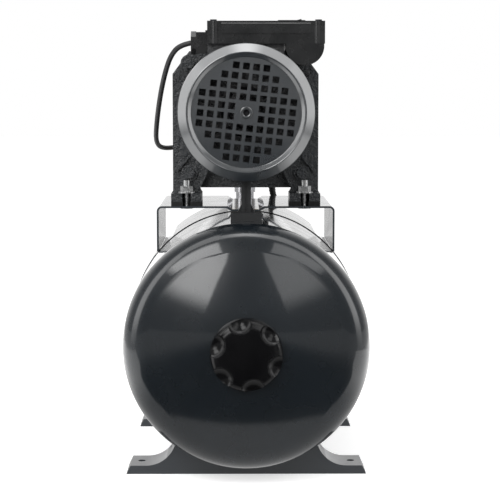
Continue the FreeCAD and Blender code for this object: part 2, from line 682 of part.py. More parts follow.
# Pump
def corner_outline(half, low, high):
    """The cast outline seen from the motor: a square with its two upper corners cut off."""
    return [(-half, low), (half, low), (half, S.corner_start), (S.corner_half_width, high),
            (-S.corner_half_width, high), (-half, S.corner_start)]


def pump_casing():
    """Cast casing: flange, volute, ejector housing and port bosses, hollow inside."""
    body = new_body("pump_casing_body", (size(0), CASING_Y, AXIS_Z))
    flange = new_sketch(body, "XZ_Plane", "casing_flange_outline",
                        [corner_outline(S.casing_half_width, -S.casing_bottom, S.casing_top)])
    pad(body, "casing_flange_pad", flange, S.casing_flange, False, True)
    half, low, high = S.ejector_half_width, S.ejector_half_width - S.casing_bottom, S.suction_rise
    housing = new_sketch(body, "XZ_Plane", "ejector_outline", [[
        (half, high), (-half, high, half, 1), (-half, low), (half, low, half, 1),
    ]])
    block_feature = pad(body, "ejector_pad", housing, S.casing_length, False, True)
    front = number(S.casing_length)
    round_edges(body, "ejector_round", block_feature, size(9),
                lambda e: e.BoundBox.YMin > front - 0.01 and abs(e.BoundBox.YMax - front) < 0.01)
    node_spot = (size(0), CASING_Y, AXIS_Z)
    volute = new_body("casing_volute", node_spot, "+Y")
    turn_profile(volute, "volute_turn", [
        (size(0), S.casing_flange - 2),
        (S.volute_radius, S.casing_flange - 2),
        (S.volute_radius, S.volute_length - 40),
        (S.volute_end_radius, S.volute_length - 6, size(42), 1),
        (S.volute_end_radius - 6, S.volute_length, size(6), 1),
        (size(0), S.volute_length),
    ])
    solids = [body, volute]
    face = CASING_Y + S.casing_length
    wall = S.casing_wall
    inside = new_body("housing_cavity", (size(0), face - wall, AXIS_Z))
    narrow = half - wall
    pad(inside, "housing_cavity_pad", new_sketch(inside, "XZ_Plane", "cavity_outline", [[
        (narrow, high), (-narrow, high, narrow, 1), (-narrow, low), (narrow, low, narrow, 1)]]),
        S.casing_length - wall - S.chamber_depth + 12)
    cuts = [inside]
    for name, up in (("suction", S.suction_rise), ("delivery", -S.delivery_drop)):
        spot = (size(0), face - 4, AXIS_Z + up)
        solids.append(cylinder(name + "_boss", S.boss_radius, S.boss_height + 4, spot, "+Y"))
        solids.append(hexagon(name + "_collar", 2 * S.boss_radius + 1, S.boss_height * 0.5 + 4, spot, "+Y"))
        cuts.append(cylinder(name + "_port", S.port_radius, S.boss_height + wall + 2,
                             (size(0), PORT_FACE + 1, AXIS_Z + up), "-Y"))
    suction_way = cylinder("suction_way", S.port_radius + 2, S.boss_height + wall + 6,
                           (size(0), PORT_FACE + 1, AXIS_Z + S.suction_rise), "-Y")
    filler = (size(0), CASING_Y + S.filler_y, AXIS_Z)
    solids.append(cylinder("filler_boss", S.plug_bore + 6, S.filler_top - 30, (filler[0], filler[1], AXIS_Z + 30)))
    cuts.append(cylinder("filler_bore", S.plug_bore, S.filler_top, (filler[0], filler[1], AXIS_Z + 10)))
    drain = (S.drain_x, face - 16, AXIS_Z - S.drain_drop)
    solids.append(cylinder("drain_boss", S.drain_bore + 5, size(20), drain, "+Y"))
    cuts.append(cylinder("drain_bore_tool", S.drain_bore, wall + 8, (S.drain_x, face + 5, drain[2]), "-Y"))
    cuts.append(cylinder("chamber", S.chamber_radius, S.chamber_depth + 1, (size(0), CASING_Y - 1, AXIS_Z), "+Y"))
    cuts.append(cylinder("volute_cavity", S.volute_end_radius - wall, S.volute_length - wall,
                         (size(0), CASING_Y, AXIS_Z), "+Y"))
    for x, z in bracket_bolt_spots():
        cuts.append(cylinder("casing_tap", S.bracket_bolt_radius + S.shaft_gap, size(17), (x, CASING_Y - 1, z), "+Y"))
    cast = cut("casing_hollowed", fuse("casing_solid", *solids), *cuts)
    socket_start = face - wall - S.ejector_seat
    ring = cylinder("ejector_socket", S.ejector_radius + 5, S.ejector_seat + 1, (size(0), socket_start, AXIS_Z), "+Y")
    bore = cylinder("ejector_socket_bore", S.ejector_radius + 0.05, S.ejector_seat, (size(0), socket_start, AXIS_Z),
                    "+Y")
    node("pump_casing", fuse("pump_casing_cast", cast, cut("ejector_socket_ring", ring, bore, suction_way)))


def pump_foot(side):
    """One leg of the bracket, as a profile seen from the motor, and its long foot."""
    name = "bracket_foot_left" if side < 0 else "bracket_foot_right"
    bottom = -S.axis_height
    top = bottom + S.pump_foot_thickness
    outline = [
        (S.pump_foot_inner, bottom), (S.pump_foot_outer, bottom), (S.pump_foot_outer, top),
        (S.casing_half_width, top + 1.5), (S.casing_half_width, -S.notch_height),
        (S.notch_half_top, -S.notch_height), (S.notch_half_bottom, -S.casing_bottom), (S.pump_foot_inner, top),
    ]
    if side < 0:
        outline = [(-x, z) for x, z in outline]
    leg = new_body(name + "_leg", (size(0), BRACKET_Y, AXIS_Z))
    pad(leg, name + "_leg_pad", new_sketch(leg, "XZ_Plane", name + "_outline", [outline]),
        S.bracket_thickness, False, True)
    corner = S.pump_foot_inner if side > 0 else -S.pump_foot_outer
    foot = block(name, (corner, PLATE_Y + S.pump_foot_setback, AXIS_Z + bottom),
                 S.pump_foot_outer - S.pump_foot_inner, S.pump_foot_depth, S.pump_foot_thickness)
    return [leg, foot]


def foot_slot(side, radius, low, height):
    """Tools for a slot open towards the motor, with a round end at the bolt."""
    x = side * S.foot_bolt_spacing / 2
    bolt_y = PLATE_Y + S.foot_bolt_inset
    start = PLATE_Y + S.pump_foot_setback - 1
    return [
        cylinder("slot_end", radius, height, (x, bolt_y, low)),
        block("slot_mouth", (x - radius, start, low), 2 * radius, bolt_y - start, height),
    ]


def bracket_bolt_spots():
    return [(side * S.bracket_bolt_x, AXIS_Z + up) for side in (-1, 1)
            for up in (-S.bracket_bolt_low, S.bracket_bolt_high)]


def motor_bracket():
    """Cast plate between motor and casing with the two feet, a bearing seat and a seal seat."""
    body = new_body("motor_bracket_body", (size(0), BRACKET_Y, AXIS_Z))
    half, high = S.casing_half_width, S.casing_top
    outline = [
        (-half, -S.casing_bottom), (-S.notch_half_bottom, -S.casing_bottom), (-S.notch_half_top, -S.notch_height),
        (S.notch_half_top, -S.notch_height), (S.notch_half_bottom, -S.casing_bottom), (half, -S.casing_bottom),
        (half, S.corner_start), (S.corner_half_width, high), (-S.corner_half_width, high),
        (-half, S.corner_start),
    ]
    pad(body, "bracket_pad", new_sketch(body, "XZ_Plane", "bracket_outline", [outline]),
        S.bracket_thickness, False, True)
    rim = S.stator_radius + 4
    ring = cylinder("bracket_spigot", rim, size(6), (size(0), BRACKET_Y, AXIS_Z), "-Y")
    boss = cylinder("bracket_bearing_boss", S.bearing_radius + 6, size(18), (size(0), BRACKET_Y, AXIS_Z), "-Y")
    inside = cylinder("bracket_spigot_bore", rim - 5, size(6), (size(0), BRACKET_Y, AXIS_Z), "-Y")
    ribs = []
    rib_y = BRACKET_Y - S.bracket_rib
    edge = S.casing_half_width
    for side in (-1, 1):
        ribs.append(bar("bracket_low_rib", (side * (edge - 19), rib_y, AXIS_Z - S.notch_height + 21),
                        (side * (edge - 4), rib_y, AXIS_Z - S.notch_height + 2), size(4), S.bracket_rib + 1))
        ribs.append(bar("bracket_high_rib", (side * (edge - 14), rib_y, AXIS_Z + S.corner_start - 7),
                        (side * (edge - 3), rib_y, AXIS_Z + S.corner_start + 3), size(4), S.bracket_rib + 1))
        ribs.append(bar("bracket_notch_rib", (side * (S.notch_half_top - 3), rib_y, AXIS_Z - S.notch_height + 18),
                        (side * (S.notch_half_top + 1.6), rib_y, AXIS_Z - S.notch_height - 1), size(3),
                        S.bracket_rib + 1))
        ribs.append(bar("bracket_leg_rib", (side * (S.notch_half_top + 1.6), rib_y, AXIS_Z - S.notch_height),
                        (side * (S.notch_half_bottom + 1.6), rib_y, AXIS_Z - S.casing_bottom), size(3),
                        S.bracket_rib + 1))
        ribs.extend(pump_foot(side))
        for up in (-S.bracket_bolt_low, S.bracket_bolt_high):
            ribs.append(cylinder("bracket_bolt_boss", S.bracket_bolt_radius + 6, S.bracket_bolt_boss + 1,
                                 (side * S.bracket_bolt_x, BRACKET_Y + 1, AXIS_Z + up), "-Y"))
    cuts = [
        cylinder("bracket_shaft_bore", S.shaft_radius + 2, size(60), (size(0), BRACKET_Y - 30, AXIS_Z), "+Y"),
        cylinder("bracket_bearing_bore", S.bearing_radius + 0.02, S.bearing_width + 1,
                 (size(0), BRACKET_Y - 19, AXIS_Z), "+Y"),
        cylinder("bracket_seal_bore", S.seal_radius + 0.05, size(7), (size(0), CASING_Y - 6, AXIS_Z), "+Y"),
    ]
    for x, z in bracket_bolt_spots():
        cuts.append(cylinder("bracket_hole", S.bracket_bolt_radius + 0.3, size(30), (x, BRACKET_Y - 10, z), "+Y"))
    for side in (-1, 1):
        cuts.extend(foot_slot(side, S.foot_slot_radius, AXIS_Z - S.axis_height - 1, S.pump_foot_thickness + 2))
    spigot = cut("bracket_spigot_ring", ring, inside)
    node("motor_bracket", cut("motor_bracket_cast", fuse("bracket_solid", body, spigot, boss, *ribs), *cuts))
    bolts = []
    for i, (x, z) in enumerate(bracket_bolt_spots()):
        name = "casing_bolt_%d" % i
        seat = BRACKET_Y - S.bracket_bolt_boss
        head = hexagon(name + "_head", S.nut_across - 1, S.bolt_head_height, (x, seat, z), "-Y")
        shank = cylinder(name + "_shank", S.bracket_bolt_radius, S.bracket_bolt_boss + S.bracket_thickness + 14,
                         (x, seat, z), "+Y")
        bolts.append(fuse(name, head, shank))
    node("casing_bolts", gather("casing_bolt_set", *bolts))


def foot_fixings():
    """Rubber pads, bolts, washers and nuts that hold the pump on its plate."""
    bolt_y = PLATE_Y + S.foot_bolt_inset
    pads, bolts, washers, nuts = [], [], [], []
    foot_top = PLATE_TOP + S.pad_thickness + S.pump_foot_thickness
    for side in (-1, 1):
        x = side * S.foot_bolt_spacing / 2
        name = "left" if side < 0 else "right"
        corner_x = S.pump_foot_inner if side > 0 else -S.pump_foot_outer
        pad_block = block("pad_block_" + name, (corner_x, PLATE_Y + S.pump_foot_setback, PLATE_TOP),
                          S.pump_foot_outer - S.pump_foot_inner, S.pump_foot_depth, S.pad_thickness)
        pad_tools = foot_slot(side, S.foot_bolt_radius + 0.3, PLATE_TOP - 1, S.pad_thickness + 2)
        pads.append(cut("pad_" + name, pad_block, *pad_tools))
        under = PLATE_TOP - S.plate_sheet
        head = cylinder("foot_bolt_head_" + name, S.stud_head_radius, S.stud_head_height, (x, bolt_y, under), "-Z")
        shank = cylinder("foot_bolt_shank_" + name, S.foot_bolt_radius, S.plate_sheet + S.foot_bolt_stand,
                         (x, bolt_y, under))
        bolts.append(fuse("foot_bolt_" + name, head, shank))
        ring = cylinder("washer_disc_" + name, S.washer_radius, S.washer_thickness, (x, bolt_y, foot_top))
        ring_hole = cylinder("washer_hole_" + name, S.foot_bolt_radius + 0.3, S.washer_thickness + 2,
                             (x, bolt_y, foot_top - 1))
        washers.append(cut("washer_" + name, ring, ring_hole))
        nut_z = foot_top + S.washer_thickness
        nut = hexagon("nut_hex_" + name, S.nut_across, S.nut_height, (x, bolt_y, nut_z))
        nut_hole = cylinder("nut_hole_" + name, S.foot_bolt_radius + S.thread_gap, S.nut_height + 2,
                            (x, bolt_y, nut_z - 1))
        nuts.append(cut("nut_" + name, nut, nut_hole))
    node("foot_pads", gather("foot_pad_set", *pads))
    node("foot_bolts", gather("foot_bolt_set", *bolts))
    node("foot_nuts_and_washers", gather("foot_nut_set", *(washers + nuts)))


def plugs():
    """Filler plug on top of the casing and drain plug low on its front."""
    spot = (size(0), CASING_Y + S.filler_y, AXIS_Z + S.filler_top)
    collar = cylinder("filler_collar", S.plug_bore + 3.5, size(2), spot)
    head = hexagon("filler_head", S.plug_across, size(9), (spot[0], spot[1], spot[2] + 2))
    shank = cylinder("filler_shank", S.plug_bore - S.thread_gap, size(11), spot, "-Z")
    node("filler_plug", fuse("filler_plug_solid", collar, head, shank))
    spot = (S.drain_x, CASING_Y + S.casing_length + 4, AXIS_Z - S.drain_drop)
    collar = cylinder("drain_collar", S.drain_bore + 2.5, size(1.5), spot, "+Y")
    head = hexagon("drain_head", S.drain_across, size(6), (spot[0], spot[1] + 1.5, spot[2]), "+Y")
    shank = cylinder("drain_shank", S.drain_bore - S.thread_gap, size(10), spot, "-Y")
    node("drain_plug", fuse("drain_plug_solid", collar, head, shank))


def hydraulics():
    """Impeller, diffuser and mechanical seal inside the casing."""
    start = CASING_Y + S.impeller_y
    plate = turned_part("impeller_disc", [
        (S.shaft_radius, size(0)), (S.impeller_radius, size(0)), (S.impeller_radius, size(2)),
        (S.shaft_radius + 8, size(4)), (S.shaft_radius + 6, size(14)), (S.shaft_radius, size(14)),
    ], (size(0), start, AXIS_Z), "+Y")
    vanes = []
    for i in range(int(number(S.vane_count))):
        vane = vane_shape(number(S.shaft_radius) + 9, number(S.impeller_radius) - 0.5,
                          number(S.impeller_width) - 1.5)
        thing = shaped("impeller_vane_%d" % i, vane, 360.0 * i / number(S.vane_count))
        vanes.append(place(thing, (size(0), start + 1.5, AXIS_Z), "+Y"))
    node("impeller", fuse("impeller_solid", plate, *vanes))
    turned("diffuser", [
        (S.shaft_radius + 8, size(0)), (S.diffuser_radius, size(0)), (S.diffuser_radius, S.diffuser_thickness),
        (S.shaft_radius + 14, S.diffuser_thickness), (S.shaft_radius + 10, S.diffuser_thickness + 30),
        (S.shaft_radius + 5, S.diffuser_thickness + 30), (S.shaft_radius + 8, S.diffuser_thickness),
    ], (size(0), start + S.impeller_width + 3, AXIS_Z), "+Y")
    eye = S.impeller_y + S.impeller_width + 3 + S.diffuser_thickness + 30
    tip = S.casing_length - S.casing_wall - 0.5
    turned("ejector", [
        (S.ejector_radius - 3, eye + 0.1), (S.ejector_radius + 4, eye + 0.1), (S.ejector_radius + 4, eye + 4),
        (S.ejector_radius - 4, eye + 14), (S.ejector_radius - 5, tip - 34), (S.ejector_radius, tip - 22),
        (S.ejector_radius, tip), (S.ejector_radius - 4, tip), (S.ejector_radius - 8, tip - 24),
        (S.ejector_radius - 8, tip - 34),
    ], (size(0), CASING_Y, AXIS_Z), "+Y")
    turned("seal_seat", [
        (S.shaft_radius + 2, size(0)), (S.seal_radius, size(0)), (S.seal_radius, size(6)),
        (S.shaft_radius + 2, size(6)),
    ], (size(0), CASING_Y - 6, AXIS_Z), "+Y")
    turned("seal_ring", [
        (S.shaft_radius, size(0)), (S.seal_radius - 2, size(0)), (S.seal_radius - 2, size(6)),
        (S.seal_radius - 4, S.impeller_y - 0.2), (S.shaft_radius, S.impeller_y - 0.2),
    ], (size(0), CASING_Y + 0.1, AXIS_Z), "+Y")


def turned_part(name, corners, spot, towards):
    """A turned body that becomes part of a larger sub-part."""
    body = new_body(name, spot, towards)
    turn_profile(body, name + "_turn", corners)
    return body


def vane_shape(inner, outer, width):
    """A backswept vane: two arcs from the eye to the rim, thickened and raised."""
    sweep = math.radians(55)
    middle = (inner + outer) / 2

    def at(radius, angle):
        return V(radius * math.cos(angle), radius * math.sin(angle), 0)

    thick = math.radians(4)
    front = Part.Arc(at(inner, 0), at(middle, -sweep * 0.42), at(outer, -sweep))
    back = Part.Arc(at(outer, -sweep - thick), at(middle, -sweep * 0.42 - thick * 1.4), at(inner, -thick * 2))
    tip = Part.LineSegment(at(outer, -sweep), at(outer, -sweep - thick))
    eye = Part.LineSegment(at(inner, -thick * 2), at(inner, 0))
    face = Part.Face(Part.Wire([front.toShape(), tip.toShape(), back.toShape(), eye.toShape()]))
    return face.extrude(V(0, 0, width))


# Motor
def shaft_group():
    """Shaft, rotor core and fan, which turn together with the impeller."""
    pump_end = CASING_Y + S.impeller_y + 13.9
    fan_end = FAN_Y - 2
    node("shaft", cylinder("shaft_bar", S.shaft_radius - S.shaft_gap, pump_end - fan_end,
                           (size(0), fan_end, AXIS_Z), "+Y"))
    core_y = (BRACKET_Y + MOTOR_END) / 2 - S.rotor_length / 2 - 4
    turned("rotor_core", [
        (S.shaft_radius, size(0)), (S.rotor_radius, size(0)), (S.rotor_radius, S.rotor_length),
        (S.shaft_radius, S.rotor_length),
    ], (size(0), core_y, AXIS_Z), "+Y")
    turned("stator_core", [
        (S.rotor_radius + S.air_gap, size(0)), (S.stator_radius, size(0)), (S.stator_radius, S.rotor_length),
        (S.rotor_radius + S.air_gap, S.rotor_length),
    ], (size(0), core_y, AXIS_Z), "+Y")
    windings = []
    for i, (start, towards) in enumerate(((core_y, "-Y"), (core_y + S.rotor_length, "+Y"))):
        windings.append(turned_part("winding_%d" % i, [
            (S.rotor_radius + 2.5, size(0)), (S.stator_radius - 4, size(0)),
            (S.stator_radius - 6, size(11)), (S.rotor_radius + 5, size(11)),
        ], (size(0), start, AXIS_Z), towards))
    node("stator_windings", gather("winding_pair", *windings))
    for label, start in (("front_bearing", BRACKET_Y - 18), ("rear_bearing", SHIELD_END)):
        turned(label, [
            (S.shaft_radius, size(0)), (S.bearing_radius, size(0)), (S.bearing_radius, S.bearing_width),
            (S.shaft_radius, S.bearing_width),
        ], (size(0), start, AXIS_Z), "+Y")


def motor_housing():
    """Finned aluminium housing with a flat pad that carries the terminal box."""
    spot = (size(0), MOTOR_END, AXIS_Z)
    wall = cylinder("motor_wall", S.motor_wall_radius, S.motor_length, spot, "+Y")
    fins = []
    count = int(number(S.fin_count))
    for i in range(count):
        turn = 360.0 * (i + 0.5) / count
        if abs(turn - 90) < 26:
            continue
        fin = block("motor_fin_%d" % i, (size(0), size(0), size(0)), S.fin_radius - S.motor_wall_radius + 1,
                    S.motor_length - 6, S.fin_thickness)
        angle = math.radians(turn)
        inner = S.motor_wall_radius - 1
        side = S.fin_thickness / 2
        base = (inner * math.cos(angle) + side * math.sin(angle), MOTOR_END + 3,
                AXIS_Z + inner * math.sin(angle) - side * math.cos(angle))
        place(fin, base)
        fin.Placement = FreeCAD.Placement(V(*[number(c) for c in base]), FreeCAD.Rotation(V(0, 1, 0), -turn))
        fins.append(fin)
    middle = (MOTOR_END + BRACKET_Y) / 2
    box_pad = block("motor_box_pad", (-S.box_pad_half_x, middle - S.box_pad_half_y, AXIS_Z + S.motor_wall_radius - 8),
                    2 * S.box_pad_half_x, 2 * S.box_pad_half_y, S.box_bottom - S.weld_gap - S.motor_wall_radius + 8)
    bore = cylinder("motor_bore", S.stator_radius + 0.02, S.motor_length - 6, spot, "+Y")
    mouth = cylinder("motor_mouth", S.stator_radius + 4.05, size(7), (size(0), BRACKET_Y - 6, AXIS_Z), "+Y")
    node("motor_housing", cut("motor_housing_cast", fuse("housing_solid", wall, box_pad, *fins), bore, mouth))
    turned("motor_end_shield", [
        (S.shaft_radius + 1, size(-2)), (S.bearing_radius + 4, size(-2)),
        (S.bearing_radius + 8, S.shield_thickness - 6),
        (S.cover_radius - S.cover_sheet - 0.05, S.shield_thickness - 6),
        (S.cover_radius - S.cover_sheet - 0.05, S.shield_thickness),
        (S.bearing_radius + 0.02, S.shield_thickness), (S.bearing_radius + 0.02, size(0)),
        (S.shaft_radius + 1, size(0)),
    ], (size(0), SHIELD_END, AXIS_Z), "+Y")


def fan():
    """Moulded fan: a hub on the shaft and flat radial blades."""
    hub = turned_part("fan_hub_body", [
        (S.shaft_radius, size(0)), (S.fan_hub, size(0)), (S.fan_hub + 4, S.fan_width), (S.shaft_radius, S.fan_width),
    ], (size(0), FAN_Y, AXIS_Z), "+Y")
    blades = []
    count = int(number(S.fan_blade_count))
    for i in range(count):
        blade = Part.makeBox(number(S.fan_radius) - number(S.fan_hub) + 2, number(S.fan_blade), number(S.fan_width) - 1,
                             V(number(S.fan_hub) - 2, -number(S.fan_blade) / 2, 0.5))
        thing = shaped("fan_blade_%d" % i, blade, 360.0 * i / count + 11)
        blades.append(place(thing, (size(0), FAN_Y, AXIS_Z), "+Y"))
    node("fan", fuse("fan_solid", hub, *blades))


def fan_cover():
    """Pressed steel cover: a rolled rim, a dished face with an eye and a turned grid of square holes."""
    sheet = S.cover_sheet
    edge = S.cover_edge
    crest = S.cover_radius - edge
    dish = crest - S.cover_crest
    face = S.cover_length - S.cover_dish_depth
    boss, eye = S.grille_boss_radius, S.grille_eye_radius
    shell = turned_part("fan_cover_press", [
        (S.cover_radius, size(0)),
        (S.cover_radius, S.cover_length - edge),
        (crest, S.cover_length, edge, 1),
        (dish, S.cover_length),
        (dish - 2, face),
        (boss, face),
        (boss - 0.5, face + S.grille_boss_height),
        (eye, face + S.grille_boss_height),
        (eye, face - sheet),
        (dish - 1.2, face - sheet),
        (dish + 0.8, S.cover_length - sheet),
        (crest, S.cover_length - sheet),
        (S.cover_radius - sheet, S.cover_length - edge, edge - sheet, -1),
        (S.cover_radius - sheet, size(0)),
    ], (size(0), COVER_END + S.cover_length, AXIS_Z), "-Y")
    holes = place(shaped("fan_cover_holes", grille_tool(), -number(S.grille_turn)), (size(0), COVER_END, AXIS_Z), "-Y")
    screws = []
    tools = []
    for i, (x, z) in enumerate(polar_spots(size(3), S.cover_radius, 90)):
        towards = V(number(x), 0, number(z)).normalize()
        spot = V(0, number(SHIELD_END) + number(S.shield_thickness) - 3.5, number(AXIS_Z))
        seat = spot + towards * (number(S.cover_radius) - 6)
        shank = Part.makeCylinder(number(S.cover_screw_radius), 7.4, seat, towards)
        head = Part.makeCylinder(number(S.cover_screw_radius) * 2, 1.8, seat + towards * 6.05, towards)
        screws.append(shaped("cover_screw_%d" % i, shank.fuse(head)))
        tools.append(shaped("cover_screw_hole_%d" % i,
                            Part.makeCylinder(number(S.cover_screw_radius) + 0.04, 7, seat - towards * 0.1, towards)))
    node("fan_cover", cut("fan_cover_pierced", shell, holes, *tools))
    node("fan_cover_screws", gather("cover_screw_set", *screws))
    label, shield = next(entry for entry in NODES if entry[0] == "motor_end_shield")
    NODES.remove((label, shield))
    shield.Label = "end_shield_blank"
    node("motor_end_shield", cut("end_shield_tapped", shield, *tools))


def grille_tool():
    """Square punches in rows of 4, 6, 8 and 10, with the two middle columns left out near the centre."""
    pitch, hole = number(S.grille_pitch), number(S.grille_hole)
    rows = (4, 6, 8, 10, 10, 10, 10, 8, 6, 4)
    punches = []
    for r, count in enumerate(rows):
        z = (r - (len(rows) - 1) / 2) * pitch
        for c in range(count):
            x = (c - (count - 1) / 2) * pitch
            if abs(x) < pitch * 1.1 and abs(z) < pitch * 0.6:
                continue
            punches.append(Part.makeBox(hole, hole, 24, V(x - hole / 2, z - hole / 2, -12)))
    return Part.makeCompound(punches)


def motor_foot():
    """Moulded support between the fan end of the motor and the tank: base, gussets and post."""
    top = AXIS_Z - S.cover_radius - 0.1
    y = COVER_END + S.post_setback
    base_z = TANK_Z + S.tank_radius
    base = block("foot_base", (-S.post_base_width / 2, y - S.post_base_depth / 2, base_z - 1.2),
                 S.post_base_width, S.post_base_depth, S.post_base_height + 1.2)
    post = block("foot_post", (-S.post_width / 2, y - S.post_depth / 2, base_z + 2), S.post_width, S.post_depth,
                 top - base_z - 2)
    groove = block("foot_groove", (size(-1.4), y - S.post_depth / 2 - 1, base_z + S.post_base_height), size(2.8),
                   size(2.5), size(60))
    web = new_body("foot_gusset", (size(0), y, base_z + S.post_base_height - 0.5))
    half, high = S.gusset_width / 2, S.gusset_height * 0.55
    pad(web, "gusset_pad", new_sketch(web, "XZ_Plane", "gusset_outline", [[
        (-half, size(0)), (half, size(0)), (S.post_width / 2 - 1, high), (-(S.post_width / 2 - 1), high)]]),
        S.post_depth * 0.5, True)
    saddle = cylinder("foot_saddle", S.tank_radius + S.weld_gap, size(60), (size(0), y - 30, TANK_Z), "+Y")
    lip = block("foot_lip", (-S.post_lip_width / 2, y - S.post_depth / 2, top - S.post_lip_height),
                S.post_lip_width, S.post_depth, S.post_lip_height * 2)
    cradle = cylinder("foot_cradle", S.cover_radius + 0.1, size(60), (size(0), y - 30, AXIS_Z), "+Y")
    solid = fuse("motor_foot_solid", base, post, web, lip)
    node("motor_foot", cut("motor_foot_moulded", solid, groove, saddle, cradle))


def terminal_box():
    """Terminal box on the motor: base with a round compartment for the capacitor, lid and screws."""
    width = S.box_right - S.box_left
    low, seam, top = AXIS_Z + S.box_bottom, AXIS_Z + S.box_seam, AXIS_Z + S.box_top
    wall = S.box_wall
    lobe = (S.lobe_x, BOX_Y, AXIS_Z + S.lobe_z)
    base = block("box_base", (S.box_left, BOX_Y, low), width, S.box_depth, seam - low)
    lobe_out = cylinder("box_lobe", S.lobe_radius, S.box_depth, lobe, "+Y")
    trim = block("box_lobe_trim", (S.box_left, BOX_Y - 1, seam), width + 10, S.box_depth + 2, size(40))
    hollow = block("box_hollow", (S.box_left + wall, BOX_Y + wall, low + wall), width - 2 * wall,
                   S.box_depth - 2 * wall, seam - low)
    lobe_in = cylinder("box_lobe_bore", S.lobe_radius - wall, S.box_depth - 2 * wall,
                       (S.lobe_x, BOX_Y + wall, lobe[2]), "+Y")
    ways = []
    inset = S.box_screw_inset
    corner = inset + S.box_corner_bulge
    sides = ((S.box_left, 1), (S.box_right, -1))
    rows = (BOX_Y + inset, BOX_Y + S.box_depth - inset)
    spots = [(edge + towards * inset, y) for edge, towards in sides for y in rows]
    columns = [(edge + towards * corner, y) for edge, towards in sides for y in rows]
    pillars = []
    for i, (x, y) in enumerate(columns):
        pillars.append(cylinder("box_pillar_%d" % i, corner, seam - low, (x, y, low)))
    for i, (x, y) in enumerate(spots):
        ways.append(cylinder("box_screw_way_%d" % i, S.box_screw_radius + S.shaft_gap, size(11), (x, y, seam - 10)))
    gland_way = cylinder("box_gland_way", S.gland_across * 0.3, size(10),
                         (S.box_left + 5, MID_Y + S.gland_y, AXIS_Z + S.gland_rise + 4.7), "-X")
    tub = cut("box_tub", fuse("box_outer", base, lobe_out), trim, hollow, lobe_in)
    node("terminal_box", cut("terminal_box_drilled", fuse("box_with_pillars", tub, *pillars), gland_way, *ways))
    lid_outer = block("lid_outer", (S.box_left, BOX_Y, seam), width, S.box_depth, top - seam)
    lid_inner = block("lid_inner", (S.box_left + wall, BOX_Y + wall, seam - 1), width - 2 * wall,
                      S.box_depth - 2 * wall, top - seam + 1 - wall)
    lid_posts = [cylinder("lid_post_%d" % i, corner, top - seam, (x, y, seam))
                 for i, (x, y) in enumerate(columns)]
    lid_ways = [cylinder("lid_way_%d" % i, S.box_screw_radius + 0.2, top - seam + 2, (x, y, seam - 1))
                for i, (x, y) in enumerate(spots)]
    half_x, half_y = S.bezel_width / 2 - 2, S.bezel_depth / 2 - 2
    window = block("lid_window", (S.bezel_x - half_x, MID_Y + S.bezel_y - half_y, top - 8), 2 * half_x, 2 * half_y,
                   size(12))
    shell = cut("lid_shell", lid_outer, lid_inner)
    node("terminal_lid", cut("terminal_lid_drilled", fuse("lid_with_posts", shell, *lid_posts), window, *lid_ways))
    screws = []
    for i, (x, y) in enumerate(spots):
        head = cylinder("lid_screw_head_%d" % i, S.box_screw_radius * 1.9, size(1.6), (x, y, top))
        shank = cylinder("lid_screw_shank_%d" % i, S.box_screw_radius, top - seam + 9.5, (x, y, seam - 9.5))
        screws.append(fuse("lid_screw_%d" % i, head, shank))
    node("terminal_lid_screws", gather("lid_screw_set", *screws))
    clear = inset + corner + 0.6
    drop = S.lobe_radius - wall - S.capacitor_radius - 0.1
    node("capacitor", cylinder("capacitor_can", S.capacitor_radius, S.box_depth - 2 * clear,
                               (S.lobe_x, BOX_Y + clear, lobe[2] - drop), "+Y"))


def rocker():
    """Rocker switch in the lid: a bezel with a socket, and the rocker that tips in it."""
    top = AXIS_Z + S.box_top
    x, y = S.bezel_x, MID_Y + S.bezel_y
    half_x, half_y = S.bezel_width / 2, S.bezel_depth / 2
    frame = block("bezel_plate", (x - half_x, y - half_y, top), S.bezel_width, S.bezel_depth, S.bezel_height)
    socket = block("bezel_socket", (x - half_x + 2.1, y - half_y + 2.1, top - 7), S.bezel_width - 4.2,
                   S.bezel_depth - 4.2, size(7))
    mouth_x, mouth_y = S.rocker_width / 2 + S.rocker_gap, S.rocker_depth / 2 + S.rocker_gap
    mouth = block("bezel_mouth", (x - mouth_x, y - mouth_y, top - 6), 2 * mouth_x, 2 * mouth_y, size(12))
    node("switch_bezel", cut("switch_bezel_cut", fuse("bezel_solid", frame, socket), mouth))
    body = place(DOC.addObject("PartDesign::Body", "rocker_key"), (x, y, top - S.rocker_pivot_depth),
                 FreeCAD.Rotation(V(0, 1, 0), -number(S.rocker_tilt)))
    half, under = S.rocker_width / 2, S.rocker_pivot_depth + 1
    tip, crown = S.rocker_pivot_depth + 1.4, S.rocker_pivot_depth + 0.2
    pad(body, "rocker_pad", new_sketch(body, "XZ_Plane", "rocker_outline", [[
        (-half, size(-0.4)), (-half * 0.4, -under), (half * 0.4, -under), (half, size(-0.4)),
        (half - 0.4, tip), (size(0), crown), (-(half - 0.4), tip),
    ]]), S.rocker_depth, True)
    node("rocker_switch", body)


def cable_glands():
    """Gland of the terminal box, and its screwed cap."""
    z = AXIS_Z + S.gland_rise
    y = MID_Y + S.gland_y
    lead = S.lead_diameter / 2
    half = S.gland_across / 2
    nose = S.box_left - S.gland_length
    body = block("gland_block", (nose, y - half, z - half), S.gland_length, S.gland_across, S.gland_across)
    flange_plate = block("gland_plate", (S.box_left - 2.4, y - 14, z - 2), size(2.4), size(28), size(16))
    way = cylinder("gland_way", lead + 0.1, size(40), (S.box_left + 2, y, z), "-X")
    node("box_gland", cut("box_gland_bored", fuse("box_gland_solid", body, flange_plate), way))
    cap = hexagon("gland_cap_nut", S.gland_across - 1, size(6), (nose, y, z), "-X")
    cap_way = cylinder("gland_cap_way", lead + 0.1, size(10), (nose + 1, y, z), "-X")
    node("box_gland_cap", cut("box_gland_cap_bored", cap, cap_way))


